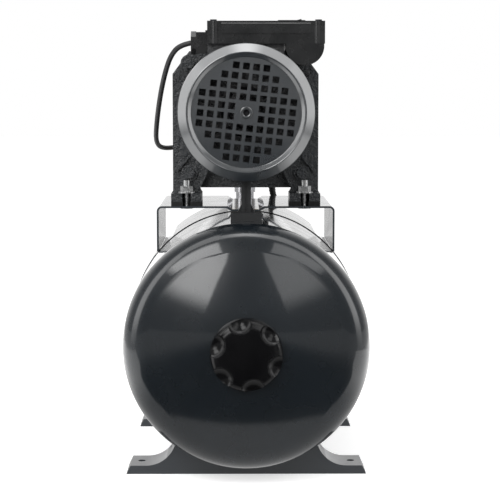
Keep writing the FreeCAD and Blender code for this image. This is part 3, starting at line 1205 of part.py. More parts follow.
# Manifold, pressure switch and gauge
def manifold():
    """Brass five-way fitting screwed in the delivery port."""
    z = AXIS_Z - S.delivery_drop
    tail = S.port_radius - S.thread_gap
    body = turned_part("manifold_turn", [
        (S.nozzle_bore, -S.manifold_tail), (tail, -S.manifold_tail), (tail, size(0)),
        (S.manifold_radius - 2, size(0)), (S.manifold_radius, size(2)), (S.manifold_radius, S.manifold_length - 2),
        (S.manifold_radius - 2, S.manifold_length), (S.nozzle_bore, S.manifold_length),
    ], (size(0), PORT_FACE, z), "+Y")
    collar_a = hexagon("manifold_hex_a", 2 * S.manifold_radius + 3, size(16), (size(0), PORT_FACE + 1, z), "+Y")
    collar_b = hexagon("manifold_hex_b", 2 * S.manifold_radius + 3, size(18),
                       (size(0), PORT_FACE + S.manifold_length - 20, z), "+Y")
    port_y = PORT_FACE + S.manifold_port
    stub = cylinder("manifold_stub", S.nozzle_radius, S.manifold_radius + 14, (size(0), port_y - 0, z), "-Z")
    side_y = PORT_FACE + S.side_port_y
    arm = cylinder("manifold_arm", S.nipple_radius + 3, 2 * (S.manifold_radius + 3), (-S.manifold_radius - 3, side_y, z),
                   "+X")
    bore = cylinder("manifold_bore", S.nozzle_bore, S.manifold_length + 20, (size(0), PORT_FACE - 10, z), "+Y")
    mouth = cylinder("manifold_mouth", S.port_radius, size(18), (size(0), PORT_FACE + S.manifold_length + 1, z), "-Y")
    stub_bore = cylinder("manifold_stub_bore", S.nozzle_bore, S.manifold_radius + 20, (size(0), port_y, z), "-Z")
    arm_bore = cylinder("manifold_arm_bore", S.nipple_radius - 2, 2 * S.manifold_radius + 20,
                        (-S.manifold_radius - 10, side_y, z), "+X")
    node("manifold", cut("manifold_bored", fuse("manifold_solid", body, collar_a, collar_b, stub, arm),
                         bore, mouth, stub_bore, arm_bore))


def pressure_switch():
    """Pressure switch on the manifold's side port: base, cover, glands."""
    z = AXIS_Z - S.delivery_drop
    y = PORT_FACE + S.side_port_y
    left = S.manifold_radius + 3 + S.nipple_length
    low = z - S.switch_low
    nipple = hexagon("switch_nipple", 2 * S.nipple_radius + 4, S.nipple_length, (S.manifold_radius + 3, y, z), "+X")
    base = block("switch_base_block", (left, y - S.switch_depth / 2, low), S.switch_width, S.switch_base_height,
                 S.switch_height)
    node("pressure_switch_base", fuse("pressure_switch_base_solid", nipple, base))
    cover = new_body("switch_cover_body", (left, y - S.switch_depth / 2 + S.switch_base_height, low))
    wide, high, deep = S.switch_width, S.switch_height, S.switch_depth - S.switch_base_height
    shape = pad(cover, "switch_cover_pad", new_sketch(cover, "XZ_Plane", "switch_cover_outline", [[
        (size(0), size(0)), (wide, size(0)), (wide, high), (size(0), high)]]), deep, False, True)
    far = number(deep)
    round_edges(cover, "switch_cover_round", shape, size(4), lambda e: e.BoundBox.YMax > far - 0.01)
    node("pressure_switch_cover", cover)
    glands = []
    for name, spot, towards, lead in (
        ("lead_gland", (left, y - S.switch_depth / 2 + 12, z + 30), "-X", S.lead_diameter / 2),
        ("mains_gland", (left + 9, y - S.switch_depth / 2 + 12, low), "-Z", S.mains_diameter / 2),
    ):
        nut = hexagon(name + "_hex", 2 * S.gland_small, size(6), spot, towards)
        reach = 6 if towards == "-X" else 0
        drop = 0 if towards == "-X" else 6
        dome = cone(name + "_dome", S.gland_small * 0.95, S.gland_small * 0.6, size(9),
                    (spot[0] - reach, spot[1], spot[2] - drop), towards)
        way = cylinder(name + "_way", lead + 0.1, size(20), spot, towards)
        glands.append(cut(name, fuse(name + "_solid", nut, dome), way))
    node("pressure_switch_glands", gather("switch_gland_pair", *glands))


def gauge():
    """Pressure gauge on the other side port: case, dial, needle and lens."""
    z = AXIS_Z - S.delivery_drop
    y = PORT_FACE + S.side_port_y
    x = -(S.manifold_radius + 3 + S.nipple_length + S.gauge_radius)
    back = y - S.gauge_depth / 2
    stem = hexagon("gauge_stem", 2 * S.nipple_radius, S.nipple_length + 1.5, (-(S.manifold_radius + 3), y, z), "-X")
    case = turned_part("gauge_case_turn", [
        (size(0), size(0)), (S.gauge_radius, size(0)), (S.gauge_radius, S.gauge_depth),
        (S.gauge_radius - 2, S.gauge_depth), (S.gauge_radius - 2, S.gauge_depth - 8), (size(0), S.gauge_depth - 8),
    ], (x, back, z), "+Y")
    node("gauge_case", fuse("gauge_case_solid", case, stem))
    node("gauge_dial", cylinder("gauge_dial_disc", S.gauge_radius - 2.3, size(0.8),
                                (x, back + S.gauge_depth - 8, z), "+Y"))
    needle_y = back + S.gauge_depth - 7
    hub = cylinder("needle_hub", size(2.4), size(2.2), (x, needle_y, z), "+Y")
    reach = S.needle_length * math.sqrt(0.5)
    arm = bar("needle_arm", (x - 4, needle_y + 0.5, z + 4), (x + reach, needle_y + 0.5, z - reach), size(1.6), size(1))
    node("gauge_needle", fuse("gauge_needle_solid", hub, arm))
    node("gauge_lens", cylinder("gauge_lens_disc", S.gauge_radius - 2.1, size(1.5),
                                (x, back + S.gauge_depth - 2, z), "+Y"))


def hose():
    """Braided hose between manifold and tank: elbow, nuts, crimped ferrules and the hose itself."""
    nozzle_y = MID_Y + FLANGE_FACE
    elbow_y = MID_Y + ELBOW_Y
    port_y = PORT_FACE + S.manifold_port
    port_low = AXIS_Z - S.delivery_drop - S.manifold_radius - 14
    nut_gap = S.thread_gap
    # Lower nut on the tank's nozzle and upper nut on the manifold's stub
    low_nut = cut("elbow_nut",
                  hexagon("elbow_nut_hex", S.hose_nut_across, S.hose_nut_length, (size(0), nozzle_y + 3.5, TANK_Z), "+Y"),
                  cylinder("elbow_nut_bore", S.nozzle_radius + nut_gap, size(40), (size(0), nozzle_y, TANK_Z), "+Y"))
    up_nut = cut("manifold_nut",
                 hexagon("manifold_nut_hex", S.hose_nut_across, S.hose_nut_length, (size(0), port_y, port_low - 5.5)),
                 cylinder("manifold_nut_bore", S.nozzle_radius + nut_gap, size(40), (size(0), port_y, port_low - 10)))
    node("hose_nuts", gather("hose_nut_pair", low_nut, up_nut))
    # Elbow and ferrules
    bend = number(S.elbow_bend)
    tube = number(S.nozzle_bore)
    start = V(0, number(MID_Y + NOZZLE_END), number(TANK_Z))
    corner = V(0, number(elbow_y), number(TANK_Z) + bend)
    knee = V(0, start.y + bend * math.sin(math.pi / 4), start.z + bend * (1 - math.cos(math.pi / 4)))
    spine = Part.Wire([Part.Arc(start, knee, corner).toShape()])
    elbow_shape = spine.makePipeShell([Part.Wire(Part.makeCircle(tube + 1.5, start, V(0, 1, 0)))], True, True)
    elbow = shaped("elbow_tube", elbow_shape)
    low_z = TANK_Z + S.elbow_bend
    stub = cylinder("elbow_stub", S.hose_radius - 0.5, size(6), (size(0), elbow_y, low_z))
    node("hose_elbow", fuse("hose_elbow_solid", elbow, stub))
    ferrule_low = low_z + 5
    ferrule_top = port_low - S.ferrule_length
    up_stub = cylinder("hose_tail", S.hose_radius - 0.5, size(4), (size(0), port_y, port_low - 4))
    low_ferrule = cylinder("ferrule_low", S.ferrule_radius, S.ferrule_length, (size(0), elbow_y, ferrule_low + 1))
    top_ferrule = cylinder("ferrule_top", S.ferrule_radius, S.ferrule_length - 4, (size(0), port_y, ferrule_top))
    sleeves = [
        cut("ferrule_low_sleeve", low_ferrule,
            cylinder("ferrule_low_bore", S.hose_radius, S.ferrule_length - 2, (size(0), elbow_y, ferrule_low + 3))),
        cut("ferrule_top_sleeve", fuse("ferrule_top_solid", top_ferrule, up_stub),
            cylinder("ferrule_top_bore", S.hose_radius, S.ferrule_length - 8, (size(0), port_y, ferrule_top - 1))),
    ]
    node("hose_ferrules", gather("hose_ferrule_pair", *sleeves))
    low = V(0, number(elbow_y), number(ferrule_low) + 3)
    high = V(0, number(port_y), number(ferrule_top) + number(S.ferrule_length) - 9)
    node("braided_hose", shaped("braided_hose_tube", bent_hose(low, high, number(S.hose_straight) + 12)))


def bent_hose(low, high, straight):
    """A tube that rises straight, swings over in two equal arcs and rises straight again."""
    a = V(low.x, low.y, low.z + straight)
    b = V(high.x, high.y, high.z - straight)
    rise, over = b.z - a.z, b.y - a.y
    radius = (rise * rise + over * over) / (4 * abs(over))
    half_turn = math.asin(rise / 2 / radius) / 2
    side = -1 if over < 0 else 1
    middle = V(0, (a.y + b.y) / 2, (a.z + b.z) / 2)

    def on_first(angle):
        return V(0, a.y + side * radius * (1 - math.cos(angle)), a.z + radius * math.sin(angle))

    def on_second(angle):
        return V(0, b.y - side * radius * (1 - math.cos(angle)), b.z - radius * math.sin(angle))

    edges = [
        Part.LineSegment(low, a).toShape(), Part.Arc(a, on_first(half_turn), middle).toShape(),
        Part.Arc(middle, on_second(half_turn), b).toShape(), Part.LineSegment(b, high).toShape(),
    ]
    spine = Part.Wire(edges)
    outside = spine.makePipeShell([Part.Wire(Part.makeCircle(number(S.hose_radius), low, V(0, 0, 1)))], True, True)
    inside = spine.makePipeShell([Part.Wire(Part.makeCircle(number(S.hose_bore), low, V(0, 0, 1)))], True, True)
    print("hose arcs have a radius of %.1f mm" % radius)
    return outside.cut(inside)


# Cords
def rounded_route(points):
    """Straight runs joined by tangent arcs, each as large as its two runs allow."""
    edges = []
    radii = []
    here = points[0]
    for before, corner, after in zip(points, points[1:], points[2:]):
        back, ahead = (before - corner), (after - corner)
        shorter = min(back.Length, ahead.Length)
        turn = math.pi - back.getAngle(ahead)
        radius = 0.45 * shorter / math.tan(turn / 2)
        reach = 0.45 * shorter
        start = corner + back.normalize() * reach
        end = corner + ahead.normalize() * reach
        inward = (back + ahead).normalize()
        middle = corner + inward * (radius / math.cos(turn / 2) - radius)
        edges.append(Part.LineSegment(here, start).toShape())
        edges.append(Part.Arc(start, middle, end).toShape())
        radii.append(radius)
        here = end
    edges.append(Part.LineSegment(here, points[-1]).toShape())
    return Part.Wire(edges), radii


def cord_tube(name, points, diameter):
    """The plain tube of a free cord, with its radii and its volume printed."""
    route, radii = rounded_route(points)
    first = (points[1] - points[0]).normalize()
    ring = Part.Wire(Part.makeCircle(diameter / 2, points[0], first))
    tube = route.makePipeShell([ring], True, True)
    expected = math.pi * diameter * diameter / 4 * route.Length
    print("%s: length %.0f mm, radii %s mm, volume %.4f of the expected"
          % (name, route.Length, " ".join("%.0f" % r for r in radii), tube.Volume / expected))
    return shaped(name, tube)


# The lead from the terminal box round the casing to the pressure switch
LEAD_POINTS = (
    (-62.6, -80.5, 480.0), (-75.5, -79.0, 477.6), (-86.0, -67.0, 466.5), (-92.8, -47.5, 450.5),
    (-99.0, -22.0, 430.0), (-104.2, 4.0, 407.0), (-108.2, 31.0, 384.5), (-110.6, 57.0, 367.0),
    (-109.0, 83.0, 357.0), (-102.5, 109.0, 353.0), (-90.5, 133.5, 353.0), (-70.0, 153.5, 357.0),
    (-43.5, 165.0, 364.5), (-15.0, 169.4, 372.0), (11.0, 169.5, 375.0),
)
# The mains cord from the pressure switch over the tank's front dome to the floor
MAINS_POINTS = (
    (35.0, 169.5, 304.0), (35.5, 170.0, 294.5), (38.5, 173.5, 285.5), (44.0, 182.0, 277.5),
    (50.5, 195.0, 269.5), (56.5, 209.0, 255.0), (61.0, 219.5, 230.0), (63.0, 226.0, 195.0),
    (62.0, 230.0, 155.0), (58.0, 233.0, 112.0), (52.5, 239.0, 72.0), (47.5, 250.0, 38.0),
    (44.0, 268.0, 14.5), (41.5, 292.0, 4.6), (42.0, 309.5, 3.5),
)
# The short tail from the coil to the plug
TAIL_POINTS = ((-35.0, 309.5, 7.5), (-35.3, 300.0, 7.7), (-35.0, 290.0, 8.0))


def cords():
    """Both cords, the coil of spare length behind the set and the plug on its end."""
    lead = cord_tube("switch_lead_tube", [V(*p) for p in LEAD_POINTS], number(S.lead_diameter))
    node("switch_lead", lead)
    mains = cord_tube("mains_cord_tube", [V(*p) for p in MAINS_POINTS], number(S.mains_diameter))
    tail = cord_tube("mains_tail_tube", [V(*p) for p in TAIL_POINTS], number(S.mains_diameter))
    node("mains_cord", gather("mains_cord_runs", mains, tail))
    middle = (S.coil_radius + S.coil_hole) / 2
    entry = V(*MAINS_POINTS[-1])
    spot = (size(entry.x) - middle, size(337.0), size(0))
    turned("mains_coil", [
        (S.coil_hole, size(3)), (S.coil_hole + 3, size(0), size(3), 1), (S.coil_radius - 3, size(0)),
        (S.coil_radius, size(3), size(3), 1), (S.coil_radius, S.coil_height - 3),
        (S.coil_radius - 3, S.coil_height, size(3), 1), (S.coil_hole + 3, S.coil_height),
        (S.coil_hole, S.coil_height - 3, size(3), 1),
    ], spot)
    end = V(*TAIL_POINTS[-1])
    body = new_body("plug_shell", (size(end.x), size(end.y), size(0)))
    half, nose = S.plug_width / 2, S.plug_width / 4
    outline = new_sketch(body, "XY_Plane", "plug_outline", [[
        (S.mains_diameter, size(0)), (-S.mains_diameter, size(0)), (-half, -nose), (-half, -S.plug_length + 3),
        (-(half - 3), -S.plug_length, size(3), 1), (half - 3, -S.plug_length),
        (half, -S.plug_length + 3, size(3), 1), (half, -nose)]])
    pad(body, "plug_pad", outline, S.plug_height)
    pins = [cylinder("plug_pin_%d" % i, S.plug_pin_radius, S.plug_pin_length + 1,
                     (size(end.x) + side * S.plug_pin_spacing / 2, size(end.y) - S.plug_length + 1, S.plug_height / 2),
                     "-Y") for i, side in enumerate((-1, 1))]
    node("mains_plug", fuse("mains_plug_solid", body, *pins))


def check_and_write():
    """Stops at any failed object, then writes each sub-part's solids."""
    DOC.recompute()
    for thing in DOC.Objects:
        bad = [word for word in thing.State if word in ("Invalid", "Error")]
        if bad:
            raise RuntimeError("%s is %s" % (thing.Label, bad))
    os.makedirs("parts", exist_ok=True)
    for label, thing in NODES:
        shape = thing.Shape
        if shape.isNull() or not shape.isValid():
            raise RuntimeError("%s has no valid shape" % label)
        if not shape.Solids:
            raise RuntimeError("%s has no solid" % label)
        shape.exportStep(os.path.join("parts", label + ".step"))
    print("wrote %d sub-parts" % len(NODES))


tank()
air_valve()
pressed_foot("tank_rear_foot", MID_Y - S.tank_half_length + S.foot_inset)
pressed_foot("tank_front_foot", MID_Y + S.tank_half_length - S.foot_inset - S.foot_depth)
mounting_plate()
pump_casing()
motor_bracket()
foot_fixings()
plugs()
hydraulics()
shaft_group()
motor_housing()
fan()
fan_cover()
motor_foot()
terminal_box()
rocker()
cable_glands()
manifold()
pressure_switch()
gauge()
hose()
cords()
check_and_write()
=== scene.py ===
# %% [markdown]
# # Dressing a booster pump set
# A booster set is a small jet pump bolted on top of a lying pressure tank. The set is seen from the
# motor end, so the picture is made of three things: the round end of the tank, the fan cover with
# its grid of holes above it and the rough casting behind that.
#
# The solids come from a CAD model and can't be moved here. This script gives them their finishes,
# makes the cords with their sleeves, a finer press of the fan cover and the front of the box's
# lid, and sets up the camera and a studio.

# %% Load the fixed frame
import bmesh
import bpy
import json
import math
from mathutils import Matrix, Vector


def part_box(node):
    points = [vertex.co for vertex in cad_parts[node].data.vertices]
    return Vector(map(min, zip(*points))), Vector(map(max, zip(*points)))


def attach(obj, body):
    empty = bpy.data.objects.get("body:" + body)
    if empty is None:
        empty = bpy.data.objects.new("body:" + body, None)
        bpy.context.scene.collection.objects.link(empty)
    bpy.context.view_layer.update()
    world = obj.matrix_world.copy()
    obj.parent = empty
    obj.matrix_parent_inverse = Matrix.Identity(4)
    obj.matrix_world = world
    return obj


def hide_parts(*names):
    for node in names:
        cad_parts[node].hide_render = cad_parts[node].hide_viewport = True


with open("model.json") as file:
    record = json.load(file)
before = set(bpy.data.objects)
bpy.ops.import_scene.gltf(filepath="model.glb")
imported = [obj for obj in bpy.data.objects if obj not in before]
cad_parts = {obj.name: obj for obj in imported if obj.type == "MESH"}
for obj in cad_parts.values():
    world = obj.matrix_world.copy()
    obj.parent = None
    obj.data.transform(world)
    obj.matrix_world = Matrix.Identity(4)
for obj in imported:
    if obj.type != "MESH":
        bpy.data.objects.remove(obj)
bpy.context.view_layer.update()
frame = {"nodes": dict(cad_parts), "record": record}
MM = 0.001

# %% [markdown]
# ## The camera first
# A camera is matched to a photograph by what can be measured in it: the height at which straight
# lines towards the back would meet (the eye level), and how much smaller far pieces look than near
# ones. Here the far casting is drawn at nine tenths of the near rim's scale, which puts the camera
# 1.7 m in front of the rim. It stands at the height of the motor and looks down a little.

# %% Camera
DOME_HEIGHT = 56 * MM
RIM_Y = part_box("tank_rear_shell")[0].y + DOME_HEIGHT
CAMERA_DISTANCE = 1708 * MM
CAMERA_HEIGHT = 429 * MM
CAMERA_X = -8.3 * MM
PITCH_DOWN = 5.85
YAW_RIGHT = 0.41
FOCAL_PIXELS = 1582
PICTURE_PIXELS = 500
SENSOR = 36

camera_data = bpy.data.cameras.new("eye")
camera_data.sensor_width = SENSOR
camera_data.lens = FOCAL_PIXELS / PICTURE_PIXELS * SENSOR
camera_data.clip_end = 50
camera = bpy.data.objects.new("eye", camera_data)
camera.location = (CAMERA_X, RIM_Y - CAMERA_DISTANCE, CAMERA_HEIGHT)
camera.rotation_euler = (math.radians(90 - PITCH_DOWN), 0, math.radians(-YAW_RIGHT))
bpy.context.scene.collection.objects.link(camera)
bpy.context.scene.camera = camera
print("lens", round(camera_data.lens, 1), "mm, camera at", [round(c, 3) for c in camera.location])

# %% [markdown]
# ## Cords
# A cord is a length of something flexible, so its line is one smooth curve. A NURBS spline of order
# 3 rounds the corners between its control points by itself. The order is set after the points are
# added, because a spline with too few points falls back to straight runs.
#
# The lead from the terminal box to the pressure switch makes the wide arc on the left of the
# picture. The mains lead drops behind the set, where it is wound up for storage.
#
# The thickness is given at the points, over a bevel of one metre, because a curve's box is grown
# by its points' radius. With the usual radius of 1 the box would be a metre too large.

# %% Cord helper
def cord_curve(name, route, diameter):
    curve = bpy.data.curves.new(name, "CURVE")
    curve.dimensions = "3D"
    curve.resolution_u = 10
    spline = curve.splines.new("NURBS")
    spline.points.add(len(route) - 1)
    for point, place in zip(spline.points, route):
        point.co = (*(MM * c for c in place), 1)
        point.radius = diameter / 2
    spline.order_u = 3
    spline.use_endpoint_u = True
    curve.bevel_depth = 1
    curve.bevel_resolution = 5
    curve.use_fill_caps = True
    cord = bpy.data.objects.new(name, curve)
    bpy.context.scene.collection.objects.link(cord)
    return cord


# %% The lead from the box to the switch
LEAD_DIAMETER = 6 * MM
LEAD_ROUTE = (
    (-62.6, -80.5, 480.0), (-75.5, -79.0, 477.6), (-86.0, -67.0, 466.5), (-92.8, -47.5, 450.5),
    (-99.0, -22.0, 430.0), (-104.2, 4.0, 407.0), (-108.2, 31.0, 384.5), (-110.6, 57.0, 367.0),
    (-109.0, 83.0, 357.0), (-102.5, 109.0, 353.0), (-90.5, 133.5, 353.0), (-70.0, 153.5, 357.0),
    (-43.5, 165.0, 364.5), (-15.0, 169.4, 372.0), (11.0, 169.5, 375.0),
)
lead = cord_curve("motor_lead", LEAD_ROUTE, LEAD_DIAMETER)
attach(lead, "set")
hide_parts("switch_lead")
print("lead of", len(LEAD_ROUTE), "points")

# %% [markdown]
# ## A wound-up mains lead
# A coil is the same spline going round, with sixteen points to a turn. The first turn lies on the
# floor. The lead then slips inside it, climbs on top, goes round again there and ends a little
# wider, so no turn is in another. A small table of radius and height against turns says this, and
# a smooth step joins its rows. The points stand a little outside their circle and half a step
# early, because a spline of order 3 touches its control line only halfway between two points.

# %% Mains lead, coil and tail
MAINS_DIAMETER = 7 * MM
MAINS_ROUTE = (
    (35.0, 169.5, 304.0), (35.5, 170.0, 294.5), (38.5, 173.5, 285.5), (44.0, 182.0, 277.5),
    (50.5, 195.0, 269.5), (56.5, 209.0, 255.0), (61.0, 219.5, 230.0), (63.0, 226.0, 195.0),
    (62.0, 230.0, 155.0), (58.0, 233.0, 112.0), (52.5, 239.0, 72.0), (47.5, 250.0, 38.0),
    (44.0, 268.0, 14.5), (41.5, 292.0, 4.6), (42.0, 309.5, 3.5),
)
TAIL_ROUTE = ((-35.0, 309.5, 7.5), (-35.3, 300.0, 7.7), (-35.0, 290.0, 8.0))
COIL_CENTRE = (3.5, 337.0)
COIL_STEPS = 16
COIL_TURNS = 3.5
COIL_ROWS = (
    (0, 38.5, 3.5), (0.72, 38.5, 3.5), (1.0, 31.5, 3.5), (1.5, 31.5, 3.5), (1.62, 32.6, 7.4),
    (1.72, 35.0, 10.6), (2.48, 35.0, 10.6), (2.7, 42.2, 10.6), (3.6, 42.2, 10.6),
)


def coil_place(turns):
    for (start, r0, z0), (end, r1, z1) in zip(COIL_ROWS, COIL_ROWS[1:]):
        if turns <= end:
            share = (turns - start) / (end - start)
            smooth = share * share * (3 - 2 * share)
            return r0 + smooth * (r1 - r0), z0 + smooth * (z1 - z0)


def coil_points():
    outside = 1 / math.cos(math.pi / COIL_STEPS)
    x, y = COIL_CENTRE
    points = []
    for step in range(int(COIL_TURNS * COIL_STEPS) + 1):
        turns = (step - 0.5) / COIL_STEPS
        angle = 2 * math.pi * turns
        radius, height = coil_place(max(0, turns))
        radius *= outside
        points.append((x + radius * math.cos(angle), y + radius * math.sin(angle), height))
    return points


mains_route = MAINS_ROUTE + tuple(coil_points()) + TAIL_ROUTE
mains = cord_curve("mains_lead", mains_route, MAINS_DIAMETER)
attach(mains, "set")
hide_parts("mains_cord", "mains_coil")
print("mains lead of", len(mains_route), "points")

# %% [markdown]
# ## Grommets
# A cord never leaves a housing through a bare hole: a tapered rubber sleeve shares the bend. A
# sleeve follows the cord, so the cord's own smooth line is read back from Blender, and rings of
# a shrinking radius are put along it, a millimetre apart. Two rings in four are pulled in between
# the sleeve's ends, which leaves ribs.

# %% Read a cord's line and sweep rings along it
RING_SPACING = 1.0 * MM
RING_SIDES = 32
ROUNDING = 1e-9
RING_START_WAY = Vector((0.37, 0.81, 0.45))
RIBS_FROM, RIBS_TO = 0.1, 0.85


def smooth_line(cord):
    """The middle line of a cord, read from its curve without thickness."""
    bevel = cord.data.bevel_depth
    cord.data.bevel_depth = 0
    mesh = bpy.data.meshes.new_from_object(cord)
    line = [vertex.co.copy() for vertex in mesh.vertices]
    bpy.data.meshes.remove(mesh)
    cord.data.bevel_depth = bevel
    return line


def start_of_line(line, length, spacing):
    """Evenly spaced points from the start of a line."""
    points, gone, wanted, last = [], 0.0, 0.0, line[0]
    for here in line[1:]:
        run = (here - last).length
        while run > 0 and gone + run >= wanted and wanted <= length + ROUNDING:
            points.append(last.lerp(here, (wanted - gone) / run))
            wanted += spacing
        gone += run
        last = here
    return points


def new_piece(name, verts, faces):
    mesh = bpy.data.meshes.new(name)
    mesh.from_pydata(verts, [], faces)
    piece = bpy.data.objects.new(name, mesh)
    bpy.context.scene.collection.objects.link(piece)
    return piece


def swept_piece(name, line, radii):
    """Rings of the given radii along a line, joined into a closed tube."""
    verts, faces = [], []
    for k, (place, radius) in enumerate(zip(line, radii)):
        before, after = line[max(0, k - 1)], line[min(len(line) - 1, k + 1)]
        ahead = (after - before).normalized()
        across = ahead.cross(RING_START_WAY).normalized()
        up = across.cross(ahead)
        for side in range(RING_SIDES):
            turn = 2 * math.pi * side / RING_SIDES
            verts.append(place + radius * (math.cos(turn) * across + math.sin(turn) * up))
    for near in range(0, (len(line) - 1) * RING_SIDES, RING_SIDES):
        far = near + RING_SIDES
        for side in range(RING_SIDES):
            after = (side + 1) % RING_SIDES
            faces.append((near + side, near + after, far + after, far + side))
    faces.append(tuple(reversed(range(RING_SIDES))))
    faces.append(tuple(range(len(verts) - RING_SIDES, len(verts))))
    piece = new_piece(name, verts, faces)
    piece.data.polygons.foreach_set("use_smooth", [len(face) == 4 for face in faces])
    return piece


def sleeve(name, line, length, wide, narrow, rib):
    points = start_of_line(line, length, RING_SPACING)
    radii = []
    for k in range(len(points)):
        share = k / (len(points) - 1)
        groove = rib if k % 4 in (2, 3) and RIBS_FROM < share < RIBS_TO else 0
        radii.append(wide + share * (narrow - wide) - groove)
    return swept_piece(name, points, radii)


# %% Sleeves of the mains lead
mains_line = smooth_line(mains)
switch_sleeve = sleeve(
    "mains_sleeve", mains_line, length=18 * MM, wide=4.8 * MM, narrow=3.9 * MM, rib=0.35 * MM,
)
plug_sleeve = sleeve(
    "plug_sleeve", mains_line[::-1], length=21 * MM, wide=5.6 * MM, narrow=4.1 * MM, rib=0.5 * MM,
)
for piece in (switch_sleeve, plug_sleeve):
    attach(piece, "set")
mains_length = sum((b - a).length for a, b in zip(mains_line, mains_line[1:]))
print("mains lead is", round(mains_length, 3), "m long")

# %% [markdown]
# ## The fan cover
# The cover is pressed from sheet, so it is one profile turned about the motor's axis: a wall, a
# cone that makes the wide bright ring, a crest, a step down to the dish and an eye in the middle.
# Each corner of the profile has its own bend radius, and a tangent arc is worked out for it. The
# square holes are cut with a grid of punches, turned a little as on the real one. The profile and
# the punches are in millimetres, from the cover's middle and front.

# %% Turned profiles
ARC_STEPS = 5
HOLD = 0.08
TURN_STEPS = 160


def rounded_outline(corners):
    """Points of an outline whose corners (radius, depth, bend) are joined by tangent arcs.

    A point held close to each arc keeps the flat between two arcs flat in smooth shading.
    """
    points = []
    for k, (x, y, bend) in enumerate(corners):
        here = Vector((x, y))
        if not bend:
            points.append(here)
            continue
        before = (Vector(corners[k - 1][:2]) - here).normalized()
        after = (Vector(corners[(k + 1) % len(corners)][:2]) - here).normalized()
        half = before.angle(after) / 2
        centre = here + (before + after).normalized() * (bend / math.sin(half))
        start = here + before * (bend / math.tan(half)) - centre
        end = here + after * (bend / math.tan(half)) - centre
        points.append(centre + start + before * HOLD)
        for step in range(ARC_STEPS + 1):
            points.append(centre + start.slerp(end, step / ARC_STEPS))
        points.append(centre + end + after * HOLD)
    return points


cover_low, cover_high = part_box("fan_cover")
COVER_CENTRE = (cover_low + cover_high) / 2


def on_cover(across, depth, up):
    """A place on the cover, in metres, from millimetres beside, behind and above its middle."""
    return COVER_CENTRE.x + MM * across, cover_low.y + MM * depth, COVER_CENTRE.z + MM * up


def turned_piece(name, corners):
    """A closed profile of radius and depth, turned about the cover's axis."""
    outline = rounded_outline(corners)
    verts, faces = [], []
    for step in range(TURN_STEPS):
        turn = 2 * math.pi * step / TURN_STEPS
        for radius, depth in outline:
            verts.append(on_cover(radius * math.sin(turn), depth, radius * math.cos(turn)))
    count = len(outline)
    for step in range(TURN_STEPS):
        near, far = step * count, (step + 1) % TURN_STEPS * count
        for k in range(count):
            after = (k + 1) % count
            faces.append((near + k, near + after, far + after, far + k))
    return new_piece(name, verts, faces)


# %% The cover's profile
COVER_RADIUS = (cover_high.z - cover_low.z) / 2 / MM
COVER_LENGTH = (cover_high.y - cover_low.y) / MM
SHEET = 1.2
CREST, CREST_BACK, CREST_BEND = 64.4, 1.9, 0.5
CONE_DEPTH, CONE_BACK = 9.8, 10.4
OUTER_BEND, INNER_BEND = 1.6, 1.2
STEP_RADIUS, STEP_DEPTH, STEP_BACK, STEP_BEND = 63.2, 1.3, 3.0, 0.3
DISH_RADIUS, DISH_DEPTH, DISH_BEND = 59.6, 4.5, 0.8
BOSS_RADIUS, BOSS_TAPER, BOSS_RISE, BOSS_BEND = 6.4, 0.5, 1.3, 0.2
EYE_RADIUS = 4.2

cover = turned_piece("fan_cover_press", [
    (COVER_RADIUS, COVER_LENGTH, 0), (COVER_RADIUS, CONE_DEPTH, OUTER_BEND), (CREST, 0, CREST_BEND),
    (STEP_RADIUS, STEP_DEPTH, STEP_BEND), (DISH_RADIUS, DISH_DEPTH, DISH_BEND),
    (BOSS_RADIUS, DISH_DEPTH, 0), (BOSS_RADIUS - BOSS_TAPER, DISH_DEPTH - BOSS_RISE, BOSS_BEND),
    (EYE_RADIUS, DISH_DEPTH - BOSS_RISE, BOSS_BEND), (EYE_RADIUS, DISH_DEPTH + SHEET, 0),
    (DISH_RADIUS, DISH_DEPTH + SHEET, DISH_BEND), (STEP_RADIUS, STEP_BACK, STEP_BEND),
    (CREST, CREST_BACK, 0), (COVER_RADIUS - SHEET, CONE_BACK, INNER_BEND),
    (COVER_RADIUS - SHEET, COVER_LENGTH, 0),
])

# %% The punched grille
PITCH = 11.0
HOLE = 7.2
GRILLE_TURN = math.radians(6.5)
ROWS = (4, 6, 8, 10, 10, 10, 10, 8, 6, 4)
PUNCH_START, PUNCH_END = DISH_DEPTH - 3, DISH_DEPTH + 4
BLOCK_CORNERS = ((-1, -1), (1, -1), (1, 1), (-1, 1))
BLOCK_ENDS = [(3, 2, 1, 0), (4, 5, 6, 7)]
BLOCK_SIDES = [(k, (k + 1) % 4, (k + 1) % 4 + 4, k + 4) for k in range(4)]
SMOOTH_UP_TO = math.radians(25)


def hole_places():
    """The middles of the holes. The four in the very middle are left out, for the eye."""
    for row, count in enumerate(ROWS):
        up = (row - (len(ROWS) - 1) / 2) * PITCH
        for column in range(count):
            across = (column - (count - 1) / 2) * PITCH
            if abs(across) > PITCH or abs(up) > PITCH:
                yield across, up


def punch_grid():
    cos, sin = math.cos(GRILLE_TURN), math.sin(GRILLE_TURN)
    verts, faces = [], []
    for across, up in hole_places():
        base = len(verts)
        for depth in (PUNCH_START, PUNCH_END):
            for dx, dz in BLOCK_CORNERS:
                x, z = across + dx * HOLE / 2, up + dz * HOLE / 2
                verts.append(on_cover(x * cos + z * sin, depth, z * cos - x * sin))
        faces += [tuple(base + k for k in face) for face in BLOCK_ENDS + BLOCK_SIDES]
    return new_piece("punches", verts, faces)


def recalculate(mesh):
    """Turns all of a closed mesh's faces outwards."""
    work = bmesh.new()
    work.from_mesh(mesh)
    bmesh.ops.recalc_face_normals(work, faces=work.faces)
    work.to_mesh(mesh)
    work.free()


